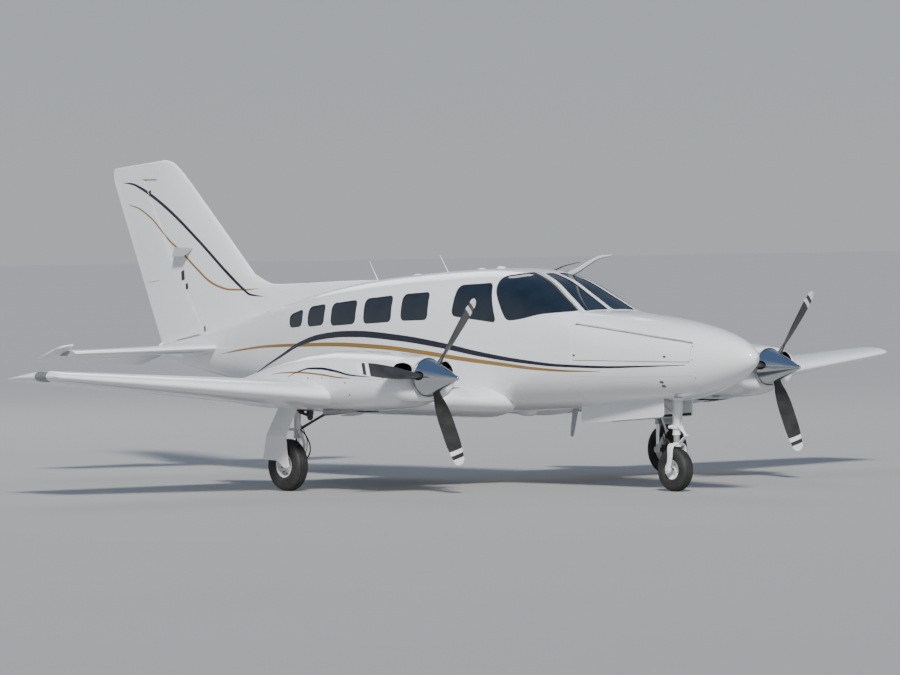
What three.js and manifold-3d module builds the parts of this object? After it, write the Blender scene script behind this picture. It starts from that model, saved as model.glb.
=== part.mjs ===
// A light twin piston aircraft with a low wing, parked on its wheels.
// Millimetres. +X is forward, +Y is to port, +Z is up. The origin is on the ground, under the middle of the
// aircraft's length and on its centre plane.
import * as THREE from "three";
import { mergeVertices } from "three/addons/utils/BufferGeometryUtils.js";
import Module from "manifold-3d";

const wasm = await Module();
wasm.setup();

// Driving dimensions
const GAP = 0.3; // between solids that touch
const RUNNING_GAP = 6; // round panels and surfaces that move
const WALL = 50; // cabin walls, roof and doors
const FLOOR_Z = 1000; // top of the cabin floor
const SILL_SPLIT_Z = 1300; // where the side walls stand on the lower hull
const WINDSHIELD_BASE_X = 3253;
const CABIN_REAR_X = -1620;
const ENGINE_Y = 2390; // nacelle centre from the centre plane
const HUB_Z = 1231; // propeller axis above the ground
const BLADE_X = 3143; // propeller plane
const PROP_RADIUS = 1000;
const MAIN_WHEEL = { x: 1093, y: 2675, radius: 275, width: 165, rim: 135 };
const NOSE_WHEEL = { x: 4253, y: 0, radius: 228, width: 150, rim: 105 };
const ELEVATOR_REST = 18; // degrees that the parked elevator droops
const ELEVATOR_HINGE = { x: -3947, z: 1362, inner: 505, outer: 2150 };

// Colours
const paint = new THREE.MeshStandardMaterial({ color: 0xf2f3f4, roughness: 0.25, metalness: 0.0 });
const darkPaint = new THREE.MeshStandardMaterial({ color: 0x26282b, roughness: 0.5, metalness: 0.0 });
const polished = new THREE.MeshStandardMaterial({ color: 0xc9ccd0, roughness: 0.12, metalness: 1.0 });
const steel = new THREE.MeshStandardMaterial({ color: 0x9a9da1, roughness: 0.4, metalness: 0.9 });
const rubber = new THREE.MeshStandardMaterial({ color: 0x17181a, roughness: 0.8, metalness: 0.0 });
const glass = new THREE.MeshStandardMaterial({
  color: 0x2b3a44, roughness: 0.05, transparent: true, opacity: 0.4,
});
const leather = new THREE.MeshStandardMaterial({ color: 0x8d8f92, roughness: 0.6, metalness: 0.0 });

const aircraft = new THREE.Group();

// A closed geometry as a solid that can be joined and cut.
function solidOf(geometry) {
  const bare = geometry.clone();
  bare.deleteAttribute("normal");
  bare.deleteAttribute("uv");
  const merged = mergeVertices(bare, 1e-3);
  return new wasm.Manifold(
    new wasm.Mesh({
      numProp: 3,
      vertProperties: new Float32Array(merged.attributes.position.array),
      triVerts: new Uint32Array(merged.index.array),
    }),
  );
}

function geometryOf(solid) {
  const mesh = solid.getMesh();
  const geometry = new THREE.BufferGeometry();
  const positions = new Float32Array(mesh.numVert * 3);
  for (let i = 0; i < mesh.numVert; i++)
    positions.set(mesh.vertProperties.subarray(i * mesh.numProp, i * mesh.numProp + 3), i * 3);
  geometry.setAttribute("position", new THREE.BufferAttribute(positions, 3));
  geometry.setIndex(new THREE.BufferAttribute(mesh.triVerts, 1));
  geometry.computeVertexNormals();
  return geometry;
}

function place(name, solid, material, parent = aircraft) {
  const mesh = new THREE.Mesh(geometryOf(solid), material);
  mesh.name = name;
  parent.add(mesh);
  return mesh;
}

// The mirror image of a solid in the centre plane.
const mirrorY = (solid) => {
  const geometry = geometryOf(solid).scale(1, -1, 1);
  geometry.setIndex([...geometry.index.array].reverse());
  return solidOf(geometry);
};

// The same solid on both sides: it is modelled on the port side, and the starboard one is its mirror image.
function placeBothSides(name, portSolid, material) {
  place(name + "_left", portSolid, material);
  place(name + "_right", portSolid, material).scale.y = -1;
}

// A line made longer at both ends.
const extended = ([a, b], grow) => {
  const step = b.map((v, i) => v - a[i]);
  const scale = grow / Math.hypot(...step);
  return [a.map((v, i) => v - step[i] * scale), b.map((v, i) => v + step[i] * scale)];
};

// A hinge pin on a moving part, and the slightly wider and deeper hole that carries it in its neighbour.
const PIN_SIDES = 8;
const pin = (from, to, radius) => bar(from, to, radius, PIN_SIDES);
const pinHole = (from, to, radius) =>
  bar(...extended([from, to], GAP), (radius + GAP) / Math.cos(Math.PI / (2 * PIN_SIDES)), 2 * PIN_SIDES);

// The stretches of a line that reach beyond its two ends by a given length, and a little way inside them.
const PIN_ROOT = 25;
function beyond([a, b], length) {
  const step = b.map((v, i) => v - a[i]);
  const along = 1 / Math.hypot(...step);
  const from = (end, distance) => end.map((v, i) => v + step[i] * distance * along);
  return [[from(a, -length), from(a, PIN_ROOT)], [from(b, -PIN_ROOT), from(b, length)]];
}

const union = (first, ...others) => others.reduce((all, next) => all.add(next), first);

// A box from its lowest to its highest corner.
function box([x0, y0, z0], [x1, y1, z1]) {
  const geometry = new THREE.BoxGeometry(x1 - x0, y1 - y0, z1 - z0);
  return solidOf(geometry.translate((x0 + x1) / 2, (y0 + y1) / 2, (z0 + z1) / 2));
}

// A round bar between two points, of one radius or tapering to a second one.
function bar(from, to, radius, sides = 16, endRadius = radius) {
  const a = new THREE.Vector3(...from);
  const b = new THREE.Vector3(...to);
  const along = b.clone().sub(a);
  const geometry = new THREE.CylinderGeometry(endRadius, radius, along.length(), sides);
  geometry.applyQuaternion(
    new THREE.Quaternion().setFromUnitVectors(new THREE.Vector3(0, 1, 0), along.clone().normalize()),
  );
  return solidOf(geometry.translate(...a.add(b).multiplyScalar(0.5).toArray()));
}

// A closed skin over rings of equal count. Each ring runs the same way round, and a fan closes both ends.
// Where the rings start at the port side, even sides make the two halves of the skin mirror images.
function loft(rings, evenSides = false) {
  const count = rings[0].length;
  const points = rings.flat();
  const faces = [];
  for (let r = 0; r + 1 < rings.length; r++)
    for (let k = 0; k < count; k++) {
      const a = r * count + k;
      const b = r * count + ((k + 1) % count);
      const otherWay = evenSides && k >= count / 4 && k < (3 * count) / 4;
      if (otherWay) faces.push(a, b, a + count, b, b + count, a + count);
      else faces.push(a, b, b + count, a, b + count, a + count);
    }
  for (const [ring, flip] of [[0, true], [rings.length - 1, false]]) {
    const centre = points.length;
    const sum = rings[ring].reduce((s, p) => s.map((v, i) => v + p[i]), [0, 0, 0]);
    points.push(sum.map((v) => v / count));
    for (let k = 0; k < count; k++) {
      const a = ring * count + k;
      const b = ring * count + ((k + 1) % count);
      faces.push(...(flip ? [centre, b, a] : [centre, a, b]));
    }
  }
  const geometry = new THREE.BufferGeometry();
  geometry.setAttribute("position", new THREE.Float32BufferAttribute(points.flat(), 3));
  geometry.setIndex(faces);
  const solid = solidOf(geometry);
  if (solid.volume() > 0) return solid;
  geometry.setIndex(faces.reverse());
  return solidOf(geometry);
}

// A flat outline in the XZ plane, given as [x, z] points, pushed through from y0 to y1.
function slabXZ(points, y0, y1) {
  const shape = new THREE.Shape(points.map(([x, z]) => new THREE.Vector2(x, z)));
  const geometry = new THREE.ExtrudeGeometry(shape, {
    depth: y1 - y0, bevelEnabled: false, curveSegments: 6,
  });
  geometry.rotateX(Math.PI / 2);
  return solidOf(geometry.translate(0, y1, 0));
}

// The same outline with its corners rounded by a quadratic curve.
function roundedSlabXZ(points, corner, y0, y1) {
  const at = (i) => new THREE.Vector2(...points[(i + points.length) % points.length]);
  const shape = new THREE.Shape();
  points.forEach((_, i) => {
    const here = at(i);
    const towards = (other) => {
      const step = other.clone().sub(here);
      return here.clone().add(step.setLength(Math.min(corner, step.length() / 2.2)));
    };
    const into = towards(at(i - 1));
    const out = towards(at(i + 1));
    if (i) shape.lineTo(into.x, into.y);
    else shape.moveTo(into.x, into.y);
    shape.quadraticCurveTo(here.x, here.y, out.x, out.y);
  });
  shape.closePath();
  const geometry = new THREE.ExtrudeGeometry(shape, {
    depth: y1 - y0, bevelEnabled: false, curveSegments: 2,
  });
  geometry.rotateX(Math.PI / 2);
  return solidOf(geometry.translate(0, y1, 0));
}

// Fuselage sections from the nose to the tail: station, half width, belly, widest height, crown, and how
// square the upper and lower halves are (2 is an ellipse).
const SECTIONS = [
  [5537, 4, 1413, 1417, 1421, 2.0, 2.0],
  [5500, 62, 1350, 1415, 1478, 2.0, 2.0],
  [5370, 158, 1254, 1410, 1562, 2.05, 2.0],
  [5153, 258, 1148, 1402, 1648, 2.1, 2.05],
  [4853, 356, 1040, 1395, 1722, 2.15, 2.1],
  [4453, 446, 963, 1388, 1788, 2.25, 2.2],
  [3953, 525, 930, 1382, 1838, 2.4, 2.3],
  [3503, 582, 897, 1378, 1868, 3.3, 2.4],
  [WINDSHIELD_BASE_X, 612, 874, 1376, 1882, 4.0, 2.45],
  [2953, 642, 851, 1374, 2035, 3.6, 2.5],
  [2553, 678, 829, 1372, 2218, 3.1, 2.6],
  [2153, 704, 806, 1370, 2302, 3.1, 2.7],
  [1653, 720, 781, 1368, 2320, 3.3, 2.8],
  [1053, 728, 755, 1366, 2298, 3.5, 2.9],
  [353, 728, 742, 1364, 2252, 3.6, 2.9],
  [-347, 712, 746, 1366, 2188, 3.6, 2.8],
  [-947, 668, 776, 1370, 2102, 3.9, 2.6],
  [-1497, 602, 822, 1376, 2005, 4.0, 2.5],
  [-2247, 478, 905, 1380, 1865, 3.2, 2.3],
  [-2947, 348, 1005, 1378, 1725, 2.6, 2.2],
  [-3647, 232, 1100, 1370, 1602, 2.1, 2.1],
  [-4147, 150, 1186, 1366, 1522, 2.0, 2.0],
  [-4640, 62, 1290, 1358, 1428, 2.0, 2.0],
];
const FUSELAGE_SIDES = 20;

// One section of the fuselage, its skin set in by an inset.
function fuselageRing([x, half, belly, widest, crown, upper, lower], inset = 0) {
  const ring = [];
  for (let k = 0; k < FUSELAGE_SIDES; k++) {
    const angle = (k / FUSELAGE_SIDES) * 2 * Math.PI;
    const c = Math.cos(angle);
    const s = Math.sin(angle);
    const power = 2 / (s >= 0 ? upper : lower);
    const rise = s >= 0 ? crown - widest : widest - belly;
    const y = Math.sign(c) * Math.abs(c) ** power * Math.max(half - inset, 1);
    const z = widest + Math.sign(s) * Math.abs(s) ** power * Math.max(rise - inset, 1);
    ring.push([x, y, z]);
  }
  return ring;
}

const fuselageBody = (inset = 0) => loft(SECTIONS.map((section) => fuselageRing(section, inset)), true);

// Distance of the skin from the centre plane at a station and a height, and at a depth under the skin.
function skinY(x, z, depth = 0) {
  const next = SECTIONS.findIndex((row) => row[0] <= x);
  const [front, rear] = [SECTIONS[next - 1], SECTIONS[next]];
  const t = (x - front[0]) / (rear[0] - front[0]);
  const [, half, belly, widest, crown, upper, lower] = front.map((v, i) => v + (rear[i] - v) * t);
  const rise = (z >= widest ? crown - widest : widest - belly) - depth;
  const power = z >= widest ? upper : lower;
  return (half - depth) * (1 - Math.abs((z - widest) / rise) ** power) ** (1 / power);
}

// An outline of [x, z] points about a pivot, pushed through the port skin and turned in plan about the pivot.
function turnedSlab(points, pivot, turn, depth = 300) {
  return slabXZ(points, -depth, depth).rotate([0, 0, turn]).translate([...pivot, 0]);
}

// Cuts a solid down to the part between two stations.
function between(solid, rear, front) {
  return solid.intersect(box([rear, -8000, -100], [front, 8000, 5000]));
}

const hull = fuselageBody();
const hullClear = fuselageBody(-GAP); // what meets the fuselage is cut back to this
const lining = fuselageBody(WALL); // the inside of the cabin's walls

// Windows, as seen from the side: [x, z] corners from the lower rear one, going round.
const CABIN_WINDOWS = [
  [[-1510, 1650], [-1245, 1671], [-1260, 1866], [-1540, 1796]],
  [[-1130, 1667], [-805, 1693], [-815, 1926], [-1150, 1889]],
  [[-668, 1684], [-210, 1712], [-225, 1977], [-690, 1934]],
  [[-62, 1714], [424, 1742], [400, 2032], [-90, 1989]],
  [[586, 1755], [1047, 1771], [1015, 2075], [565, 2044]],
  [[1436, 1818], [2170, 1752], [1950, 2177], [1440, 2147]],
];
// The flight deck's side pane, as seen from the side. The slanting post parts it from the windshield.
const SIDE_SCREEN = [
  [2320, 1774], [2520, 1793], [2800, 1850], [3215, 1885], [3250, 2010], [2338, 2300], [1990, 2245],
  [2040, 2104],
];
const WINDSHIELD = { rear: 2345, front: 3232, centrePost: 28, post: 27 };
// The slanting post's middle line in plan: its distance from the centre plane at a station.
const postY = (x) => 160 + (x - 2250) * 0.219;

// Left cabin door: its halves part above the floor. The upper half carries a window.
const DOOR = {
  x: -440, half: 300, sill: 1035, split: 1560, head: 2040, turn: 5.7, hingeIn: 12, hingeGap: 11,
  splitGap: 9,
};
const DOOR_PIN = 7;

function windowCutter(outline, shrink, y0, y1) {
  const cx = outline.reduce((s, p) => s + p[0], 0) / outline.length;
  const cz = outline.reduce((s, p) => s + p[1], 0) / outline.length;
  const moved = outline.map(([x, z]) => {
    const far = Math.hypot(x - cx, z - cz);
    return [x - ((x - cx) / far) * shrink, z - ((z - cz) / far) * shrink];
  });
  return roundedSlabXZ(moved, 60, y0, y1);
}

// A plan outline of [x, y] points pushed through the upper half of the cabin, on both sides of its middle.
function planCutter(points) {
  const cut = (side) => {
    const shape = new THREE.Shape(points.map(([x, y]) => new THREE.Vector2(x, side * y)));
    const geometry = new THREE.ExtrudeGeometry(shape, { depth: 900, bevelEnabled: false });
    return solidOf(geometry.translate(0, 0, 1700));
  };
  return cut(1).add(cut(-1));
}

function sideOpenings(shrink, y0, y1) {
  const outboard = planCutter([
    [1900, postY(1900) + WINDSHIELD.post + shrink],
    [3400, postY(3400) + WINDSHIELD.post + shrink],
    [3400, 950],
    [1900, 950],
  ]);
  const screen = windowCutter(SIDE_SCREEN, shrink, y0, y1).intersect(outboard);
  return union(screen, ...CABIN_WINDOWS.map((outline) => windowCutter(outline, shrink, y0, y1)));
}

// The windshield's two panes, seen from above: a centre post parts them, and a slanting post ends each one.
function windshieldCutter(shrink) {
  const { rear, front, centrePost, post } = WINDSHIELD;
  return planCutter([
    [front - shrink, centrePost + shrink],
    [front - shrink, postY(front) - post - shrink],
    [rear + shrink, postY(rear) - post - shrink],
    [rear + shrink, centrePost + shrink],
  ]);
}

// Cabin shell: lower hull with the floor, two side walls and a roof that carries the windshield's frame.
const cabinSkin = between(hull, CABIN_REAR_X + GAP, WINDSHIELD_BASE_X - GAP);
const cabinSpace = lining.intersect(
  box([CABIN_REAR_X - 50, -800, FLOOR_Z], [WINDSHIELD_BASE_X + 200, 800, 2600]),
);
const shell = cabinSkin.subtract(cabinSpace);
// The side walls end along this line, under the roof.
const ROOF_LINE = [
  [CABIN_REAR_X - 10, 1905], [-347, 2040], [1053, 2118], [1900, 2215], [2000, 2205], [3150, 1874],
  [3300, 1852],
];
function bandXZ(lower, upper) {
  return slabXZ([...lower, ...[...upper].reverse()], -900, 900);
}
const splitLine = (z) => [[CABIN_REAR_X - 10, z], [3300, z]];
const shifted = (line, dz) => line.map(([x, z]) => [x, z + dz]);
const lowerBand = bandXZ(splitLine(400), splitLine(SILL_SPLIT_Z - GAP));
const sideBand = bandXZ(splitLine(SILL_SPLIT_Z), shifted(ROOF_LINE, -GAP));
const roofBand = bandXZ(ROOF_LINE, splitLine(2600));

const doorPivot = [DOOR.x, skinY(DOOR.x, 1500)];
const doorSlab = (bottom, top, half) =>
  turnedSlab([[-half, bottom], [half, bottom], [half, top], [-half, top]], doorPivot, DOOR.turn);
// A door half turns about a line just under the skin, level and along the door.
function doorHinge(z) {
  const y = skinY(DOOR.x, z, DOOR.hingeIn);
  const slope = Math.tan(THREE.MathUtils.degToRad(DOOR.turn));
  const end = (dx) => [DOOR.x + dx, y + dx * slope, z];
  const reach = DOOR.half * Math.cos(THREE.MathUtils.degToRad(DOOR.turn)) - 16;
  return [end(-reach), end(reach)];
}
const upperHinge = doorHinge(DOOR.head - DOOR.hingeIn);
const lowerHinge = doorHinge(DOOR.sill + DOOR.hingeIn);
const doorPins = (line, make) => beyond(line, 38).map(([a, b]) => make(a, b, DOOR_PIN));
const doorHole = union(
  doorSlab(DOOR.sill - DOOR.hingeGap, DOOR.head + DOOR.hingeGap, DOOR.half + RUNNING_GAP),
  ...doorPins(upperHinge, pinHole),
  ...doorPins(lowerHinge, pinHole),
);

// Aerials on the roof and under the belly: whips, pads and a curved blade above the windshield.
function bladeAerial(x, z, height, chord, sweep, width, dir = 1) {
  const section = (t) => {
    const reach = chord * (1 - 0.45 * t);
    const cx = x - sweep * t;
    const cz = z + dir * height * t;
    return [
      [cx - reach / 2, -width / 2, cz], [cx + reach / 2, -width / 2, cz],
      [cx + reach / 2, width / 2, cz], [cx - reach / 2, width / 2, cz],
    ];
  };
  return loft([section(0), section(0.5), section(1)]);
}
// The tall blade above the windshield stands on its frame, to port, and sweeps forward.
const SWEPT_BLADE = {
  y: 175, foot: [2325, 2205, 62],
  points: [[2338, 2241, 50], [2503, 2306, 40], [2701, 2392, 30], [2864, 2446, 22], [3066, 2469, 8]],
};
const sweptBlade = loft(
  [SWEPT_BLADE.foot, ...SWEPT_BLADE.points].map(([x, z, deep]) => {
    const y = SWEPT_BLADE.y;
    return [
      [x - deep * 0.35, y, z + deep * 0.5], [x, y - 6, z], [x + deep * 0.35, y, z - deep * 0.5],
      [x, y + 6, z],
    ];
  }),
);
const roofAerials = [
  bar([553, 0, 2245], [393, 0, 2462], 7, 8, 3),
  box([-60, -40, 2210], [120, 40, 2252]),
  box([1050, -35, 2280], [1180, 35, 2318]),
  box([1370, -45, 2300], [1500, 45, 2342]),
  sweptBlade,
];

// The nose wheel's well runs from the nose back under the cabin floor, where its roof is lower.
const WELL = { rear: 2993, front: 4345, half: 190, roof: 1130, cabinRoof: 965 };
const wheelWell = union(
  box([WINDSHIELD_BASE_X - 5, -WELL.half, 500], [WELL.front, WELL.half, WELL.roof]),
  box([WELL.rear, -WELL.half, 500], [WINDSHIELD_BASE_X + 5, WELL.half, WELL.cabinRoof]),
);

// The floor is a plate over a hollow belly.
const FLOOR_THICK = 40;
const belly = lining.intersect(
  box([CABIN_REAR_X - 50, -800, 500], [WELL.rear - WALL, 800, FLOOR_Z - FLOOR_THICK]),
);
const cabinFloor = shell
  .intersect(lowerBand)
  .subtract(belly)
  .subtract(doorHole)
  .add(bladeAerial(2660, 845, 315, 95, 70, 14, -1))
  .add(box([1683, -60, 735], [2013, 60, 810]))
  .add(box([603, -45, 690], [953, 45, 775]))
  .subtract(wheelWell);
const walls = shell.intersect(sideBand);
const framed = walls.subtract(windshieldCutter(0));
const portWall = framed
  .intersect(box([-2000, GAP, 0], [4000, 900, 3000]))
  .subtract(sideOpenings(0, 200, 900))
  .subtract(doorHole);
const starboardWall = framed.intersect(box([-2000, -900, 0], [4000, -GAP, 3000]))
  .subtract(sideOpenings(0, -900, -200));
const roof = shell
  .intersect(roofBand)
  .subtract(windshieldCutter(0))
  .subtract(sideOpenings(0, 200, 900))
  .subtract(sideOpenings(0, -900, -200))
  .subtract(doorHole);

place("cabin_floor", cabinFloor, paint);
place("side_wall_left", between(portWall, DOOR.x, 4000), paint);
place("side_wall_left_rear", between(portWall, -3000, DOOR.x), paint);
place("side_wall_right", starboardWall, paint);
place("roof", union(roof, ...roofAerials.map((aerial) => aerial.subtract(lining))), paint);

// Panes: thick blocks in the openings, joined by a thin sheet that lies against the wall's inner face.
const paneSkin = fuselageBody(22).subtract(fuselageBody(WALL + 6));
const backSkin = fuselageBody(WALL + GAP).subtract(fuselageBody(WALL + 6));
function panes(cutter, region) {
  return paneSkin.intersect(cutter)
    .add(backSkin.intersect(region))
    .intersect(box([CABIN_REAR_X + 5, -900, 0], [WINDSHIELD_BASE_X - 5, 900, 3000]));
}
const glazedBand = slabXZ(
  [[-1560, 1640], [2300, 1735], [3240, 1800], [3140, 1960], [2420, 2235], [-1560, 1840]], -900, 900,
);
const doorClear = doorSlab(DOOR.sill - 30, DOOR.head + 30, DOOR.half + 32);

const windshieldZone = planCutter([[3240, 1], [3240, postY(3240) - 8], [2410, postY(2410) - 8], [2410, 1]]);
const windshieldMiddle = box([2410, -5, 1700], [3240, 5, 2600]);
place("windshield_glass", panes(windshieldCutter(GAP), windshieldZone.add(windshieldMiddle)), glass);
const outboardOfPost = planCutter(
  [[-1560, 320], [2403, postY(2403) + 8], [3245, postY(3245) + 8], [3245, 900], [-1560, 900]],
);
const sideZone = glazedBand.intersect(outboardOfPost);
const portSide = box([CABIN_REAR_X, 100, 0], [3300, 900, 3000]);
const starboardSide = box([CABIN_REAR_X, -900, 0], [3300, -100, 3000]);
const portGlass = panes(sideOpenings(GAP, 200, 900), sideZone.intersect(portSide)).subtract(doorClear);
place("side_glass_left", between(portGlass, DOOR.x, 4000), glass);
place("side_glass_left_rear", between(portGlass, -3000, DOOR.x), glass);
place("side_glass_right", panes(sideOpenings(GAP, -900, -200), sideZone.intersect(starboardSide)), glass);

// The cabin door: the lower half swings down as a step, the upper half swings up.
const doorBody = hull.subtract(lining);
const doorPart = (bottom, top) => doorBody.intersect(doorSlab(bottom, top, DOOR.half));
const doorWindow = windowCutter(CABIN_WINDOWS[2], 0, 200, 900);
place(
  "cabin_door_upper",
  union(doorPart(DOOR.split + DOOR.splitGap, DOOR.head), ...doorPins(upperHinge, pin)).subtract(doorWindow),
  paint,
);
place("cabin_door_glass", paneSkin.intersect(windowCutter(CABIN_WINDOWS[2], GAP, 200, 900)), glass);
place("cabin_door_lower", union(doorPart(DOOR.sill, DOOR.split), ...doorPins(lowerHinge, pin)), paint);

// Nose: a solid shell with a baggage bay through it and a wheel well below.
const BAGGAGE = {
  rear: 3300, front: 4880, sill: 1375, rearHead: 1745, frontHead: 1560, floor: 1270, roof: 1765,
  skin: 30, hingeIn: 11, headGap: 13,
};
const bagEnds = [
  [BAGGAGE.rear + 20, BAGGAGE.rearHead - BAGGAGE.hingeIn - 1],
  [BAGGAGE.front - 20, BAGGAGE.frontHead - BAGGAGE.hingeIn + 1],
];
const bagHinge = bagEnds.map(([x, z]) => [x, skinY(x, z, BAGGAGE.hingeIn), z]);
const bagTurn = THREE.MathUtils.radToDeg(
  Math.atan2(bagHinge[1][1] - bagHinge[0][1], bagHinge[1][0] - bagHinge[0][0]),
);
const bagMiddle = [(BAGGAGE.rear + BAGGAGE.front) / 2, (bagHinge[0][1] + bagHinge[1][1]) / 2];
const bagHalf = (BAGGAGE.front - BAGGAGE.rear) / 2 / Math.cos(THREE.MathUtils.degToRad(bagTurn));
const bagSlab = (grow, hingeGrow) =>
  turnedSlab(
    [
      [-bagHalf - grow, BAGGAGE.sill - grow],
      [bagHalf + grow, BAGGAGE.sill - grow],
      [bagHalf + grow, BAGGAGE.frontHead + hingeGrow],
      [-bagHalf - grow, BAGGAGE.rearHead + hingeGrow],
    ],
    bagMiddle,
    bagTurn,
    240,
  );
const bagPins = (make) => beyond(bagHinge, 42).map(([a, b]) => make(a, b, 6));
const noseBody = between(hull, WINDSHIELD_BASE_X, 6000);
const bayInset = BAGGAGE.skin + 4;
const bay = fuselageBody(bayInset).intersect(
  box([BAGGAGE.rear - 10, -700, BAGGAGE.floor], [BAGGAGE.front + 10, 700, BAGGAGE.roof]),
);
const bagHole = union(bagSlab(RUNNING_GAP, BAGGAGE.headGap), ...bagPins(pinHole));
const noseSection = noseBody.subtract(bay).subtract(bagHole).subtract(mirrorY(bagHole)).subtract(wheelWell);
place("nose_section", noseSection, paint);
const baggageDoor = hull
  .subtract(fuselageBody(BAGGAGE.skin))
  .intersect(bagSlab(0, 0))
  .add(union(...bagPins(pin)));
placeBothSides("baggage_door", baggageDoor, paint);

// Tail cone, with a hole for the elevator's torque tube.
const TORQUE_TUBE_RADIUS = 17;
const hinge = ELEVATOR_HINGE;
const tubeHole = pinHole([hinge.x, -600, hinge.z], [hinge.x, 600, hinge.z], TORQUE_TUBE_RADIUS);
const overTail = slabXZ([[-3704, 1531], [-4800, 1367], [-4800, 1800], [-3704, 1800]], -300, 300);
// The tail cone is hollow. A round opening in its front bulkhead leads into it.
// A sternpost carries the rudder's foot.
const TAIL = {
  skin: 14, bulkhead: 20, opening: 160, openingZ: 1420, postFront: -3690, postRear: -3850, end: -4560,
};
const tailFront = CABIN_REAR_X - GAP;
const tailInside = fuselageBody(TAIL.skin);
const tailSpace = union(
  between(tailInside, TAIL.postFront, tailFront - TAIL.bulkhead),
  between(tailInside, TAIL.end, TAIL.postRear),
  bar([tailFront - TAIL.bulkhead - 5, 0, TAIL.openingZ], [tailFront + 5, 0, TAIL.openingZ], TAIL.opening, 20),
);
const tailCone = between(hull, -6000, tailFront).subtract(tailSpace).subtract(tubeHole).subtract(overTail);

// A wing section. Its upper and lower skins run from the trailing edge to the nose and back.
const SKIN_STEPS = 7;
function skinPoint(fraction, side, thickness, camber) {
  const root = 0.2969 * Math.sqrt(fraction);
  const rest = -0.126 * fraction - 0.3516 * fraction ** 2 + 0.2843 * fraction ** 3 - 0.1015 * fraction ** 4;
  return 4 * camber * fraction * (1 - fraction) + side * 5 * thickness * (root + rest);
}
function skinRing(steps = SKIN_STEPS) {
  const ring = [];
  for (let i = 0; i <= steps; i++) ring.push([0.5 * (1 + Math.cos((Math.PI * i) / steps)), 1]);
  for (let i = 1; i <= steps; i++) ring.push([0.5 * (1 - Math.cos((Math.PI * i) / steps)), -1]);
  return ring;
}

// Wing panel: distance from the centre plane, nose and tail stations, nose height, thickness over chord.
const WING = [
  [450, 2210, 30, 900, 0.165],
  [1500, 2165, 80, 950, 0.165],
  [2390, 2120, 125, 996, 0.165],
  [2900, 2013, 155, 1039, 0.16],
  [4350, 1684, 240, 1162, 0.14],
  [5600, 1402, 318, 1268, 0.12],
  [5775, 1352, 338, 1283, 0.11],
  [5835, 1285, 385, 1287, 0.06],
];
const WING_TILT = Math.tan(THREE.MathUtils.degToRad(2.75));
const WING_CAMBER = 0.018;

function wingAt(y) {
  const next = Math.max(1, WING.findIndex((row) => row[0] >= y));
  const a = WING[next - 1];
  const b = WING[next];
  const t = (y - a[0]) / (b[0] - a[0]);
  return a.map((v, i) => v + (b[i] - v) * t);
}
function wingHeight(y, x, side) {
  const [, noseX, tailX, noseZ, thickness] = wingAt(y);
  const chord = noseX - tailX;
  const fraction = (noseX - x) / chord;
  return noseZ - (noseX - x) * WING_TILT + chord * skinPoint(fraction, side, thickness, WING_CAMBER);
}
function wingBody(lift = 0) {
  return loft(
    WING.map((row) =>
      skinRing().map(([fraction, side]) => {
        const x = row[1] - (row[1] - row[2]) * fraction;
        const z = row[3] - (row[1] - x) * WING_TILT;
        return [x, row[0], z + lift + (row[1] - row[2]) * skinPoint(fraction, side, row[4], WING_CAMBER)];
      }),
    ),
  );
}

const AILERON = { inner: 4180, outer: 5560, innerX: 600, outerX: 592, innerR: 61, outerR: 41 };
const FLAPS = {
  inner: { from: 645, to: 1890, fromX: 455, toX: 480 },
  outer: { from: 2945, to: 4140, fromX: 530, toX: 562 },
};
const FLAP_THICK = 18;

// What lies behind a line across the wing.
function behind(y0, x0, y1, x1) {
  const shape = new THREE.Shape([
    new THREE.Vector2(-500, y0),
    new THREE.Vector2(x0, y0),
    new THREE.Vector2(x1, y1),
    new THREE.Vector2(-500, y1),
  ]);
  const geometry = new THREE.ExtrudeGeometry(shape, { depth: 1400, bevelEnabled: false });
  return solidOf(geometry.translate(0, 0, 400));
}
const wholeWing = wingBody();
const midWing = (y, x) => (wingHeight(y, x, 1) + wingHeight(y, x, -1)) / 2;
const aileronHinge = [
  [AILERON.innerX, AILERON.inner, midWing(AILERON.inner, AILERON.innerX)],
  [AILERON.outerX, AILERON.outer, midWing(AILERON.outer, AILERON.outerX)],
];
const { inner: ailIn, outer: ailOut, innerX: ailInX, outerX: ailOutX } = AILERON;
const aileron = wholeWing.intersect(
  behind(ailIn, ailInX, ailOut, ailOutX).add(bar(...aileronHinge, AILERON.innerR, 16, AILERON.outerR)),
);
const END_GAP = 9; // at the ends of a surface whose hinge line isn't square to them
const aileronPins = (make) => beyond(aileronHinge, 34).map(([a, b]) => make(a, b, 8));
const aileronCove = union(
  behind(ailIn - END_GAP, ailInX, ailOut + END_GAP, ailOutX),
  bar(...extended(aileronHinge, END_GAP), AILERON.innerR + RUNNING_GAP, 16, AILERON.outerR + RUNNING_GAP),
  ...aileronPins(pinHole),
);

// A flap is a plate under the wing's rear. It turns about the middle of its rounded front edge.
const flapPlate = wholeWing.subtract(wingBody(FLAP_THICK));
function flapHinge({ from, to, fromX, toX }) {
  const r = FLAP_THICK / 2;
  const end = (y, x) => [x - r, y, wingHeight(y, x - r, -1) + r];
  return [end(from, fromX), end(to, toX)];
}
const flapPins = (flap, make) => beyond(flapHinge(flap), 26).map(([a, b]) => make(a, b, 6));
function flapPanel(flap) {
  const [inner, outer] = flapHinge(flap);
  return union(
    flapPlate.intersect(behind(flap.from, inner[0], flap.to, outer[0])),
    bar(inner, outer, FLAP_THICK / 2, PIN_SIDES),
    ...flapPins(flap, pin),
  );
}
function flapCove(flap) {
  const { from, to, fromX, toX } = flap;
  const cut = behind(from - RUNNING_GAP, fromX + RUNNING_GAP, to + RUNNING_GAP, toX + RUNNING_GAP);
  return union(cut.subtract(wingBody(FLAP_THICK + RUNNING_GAP)), ...flapPins(flap, pinHole));
}
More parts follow.
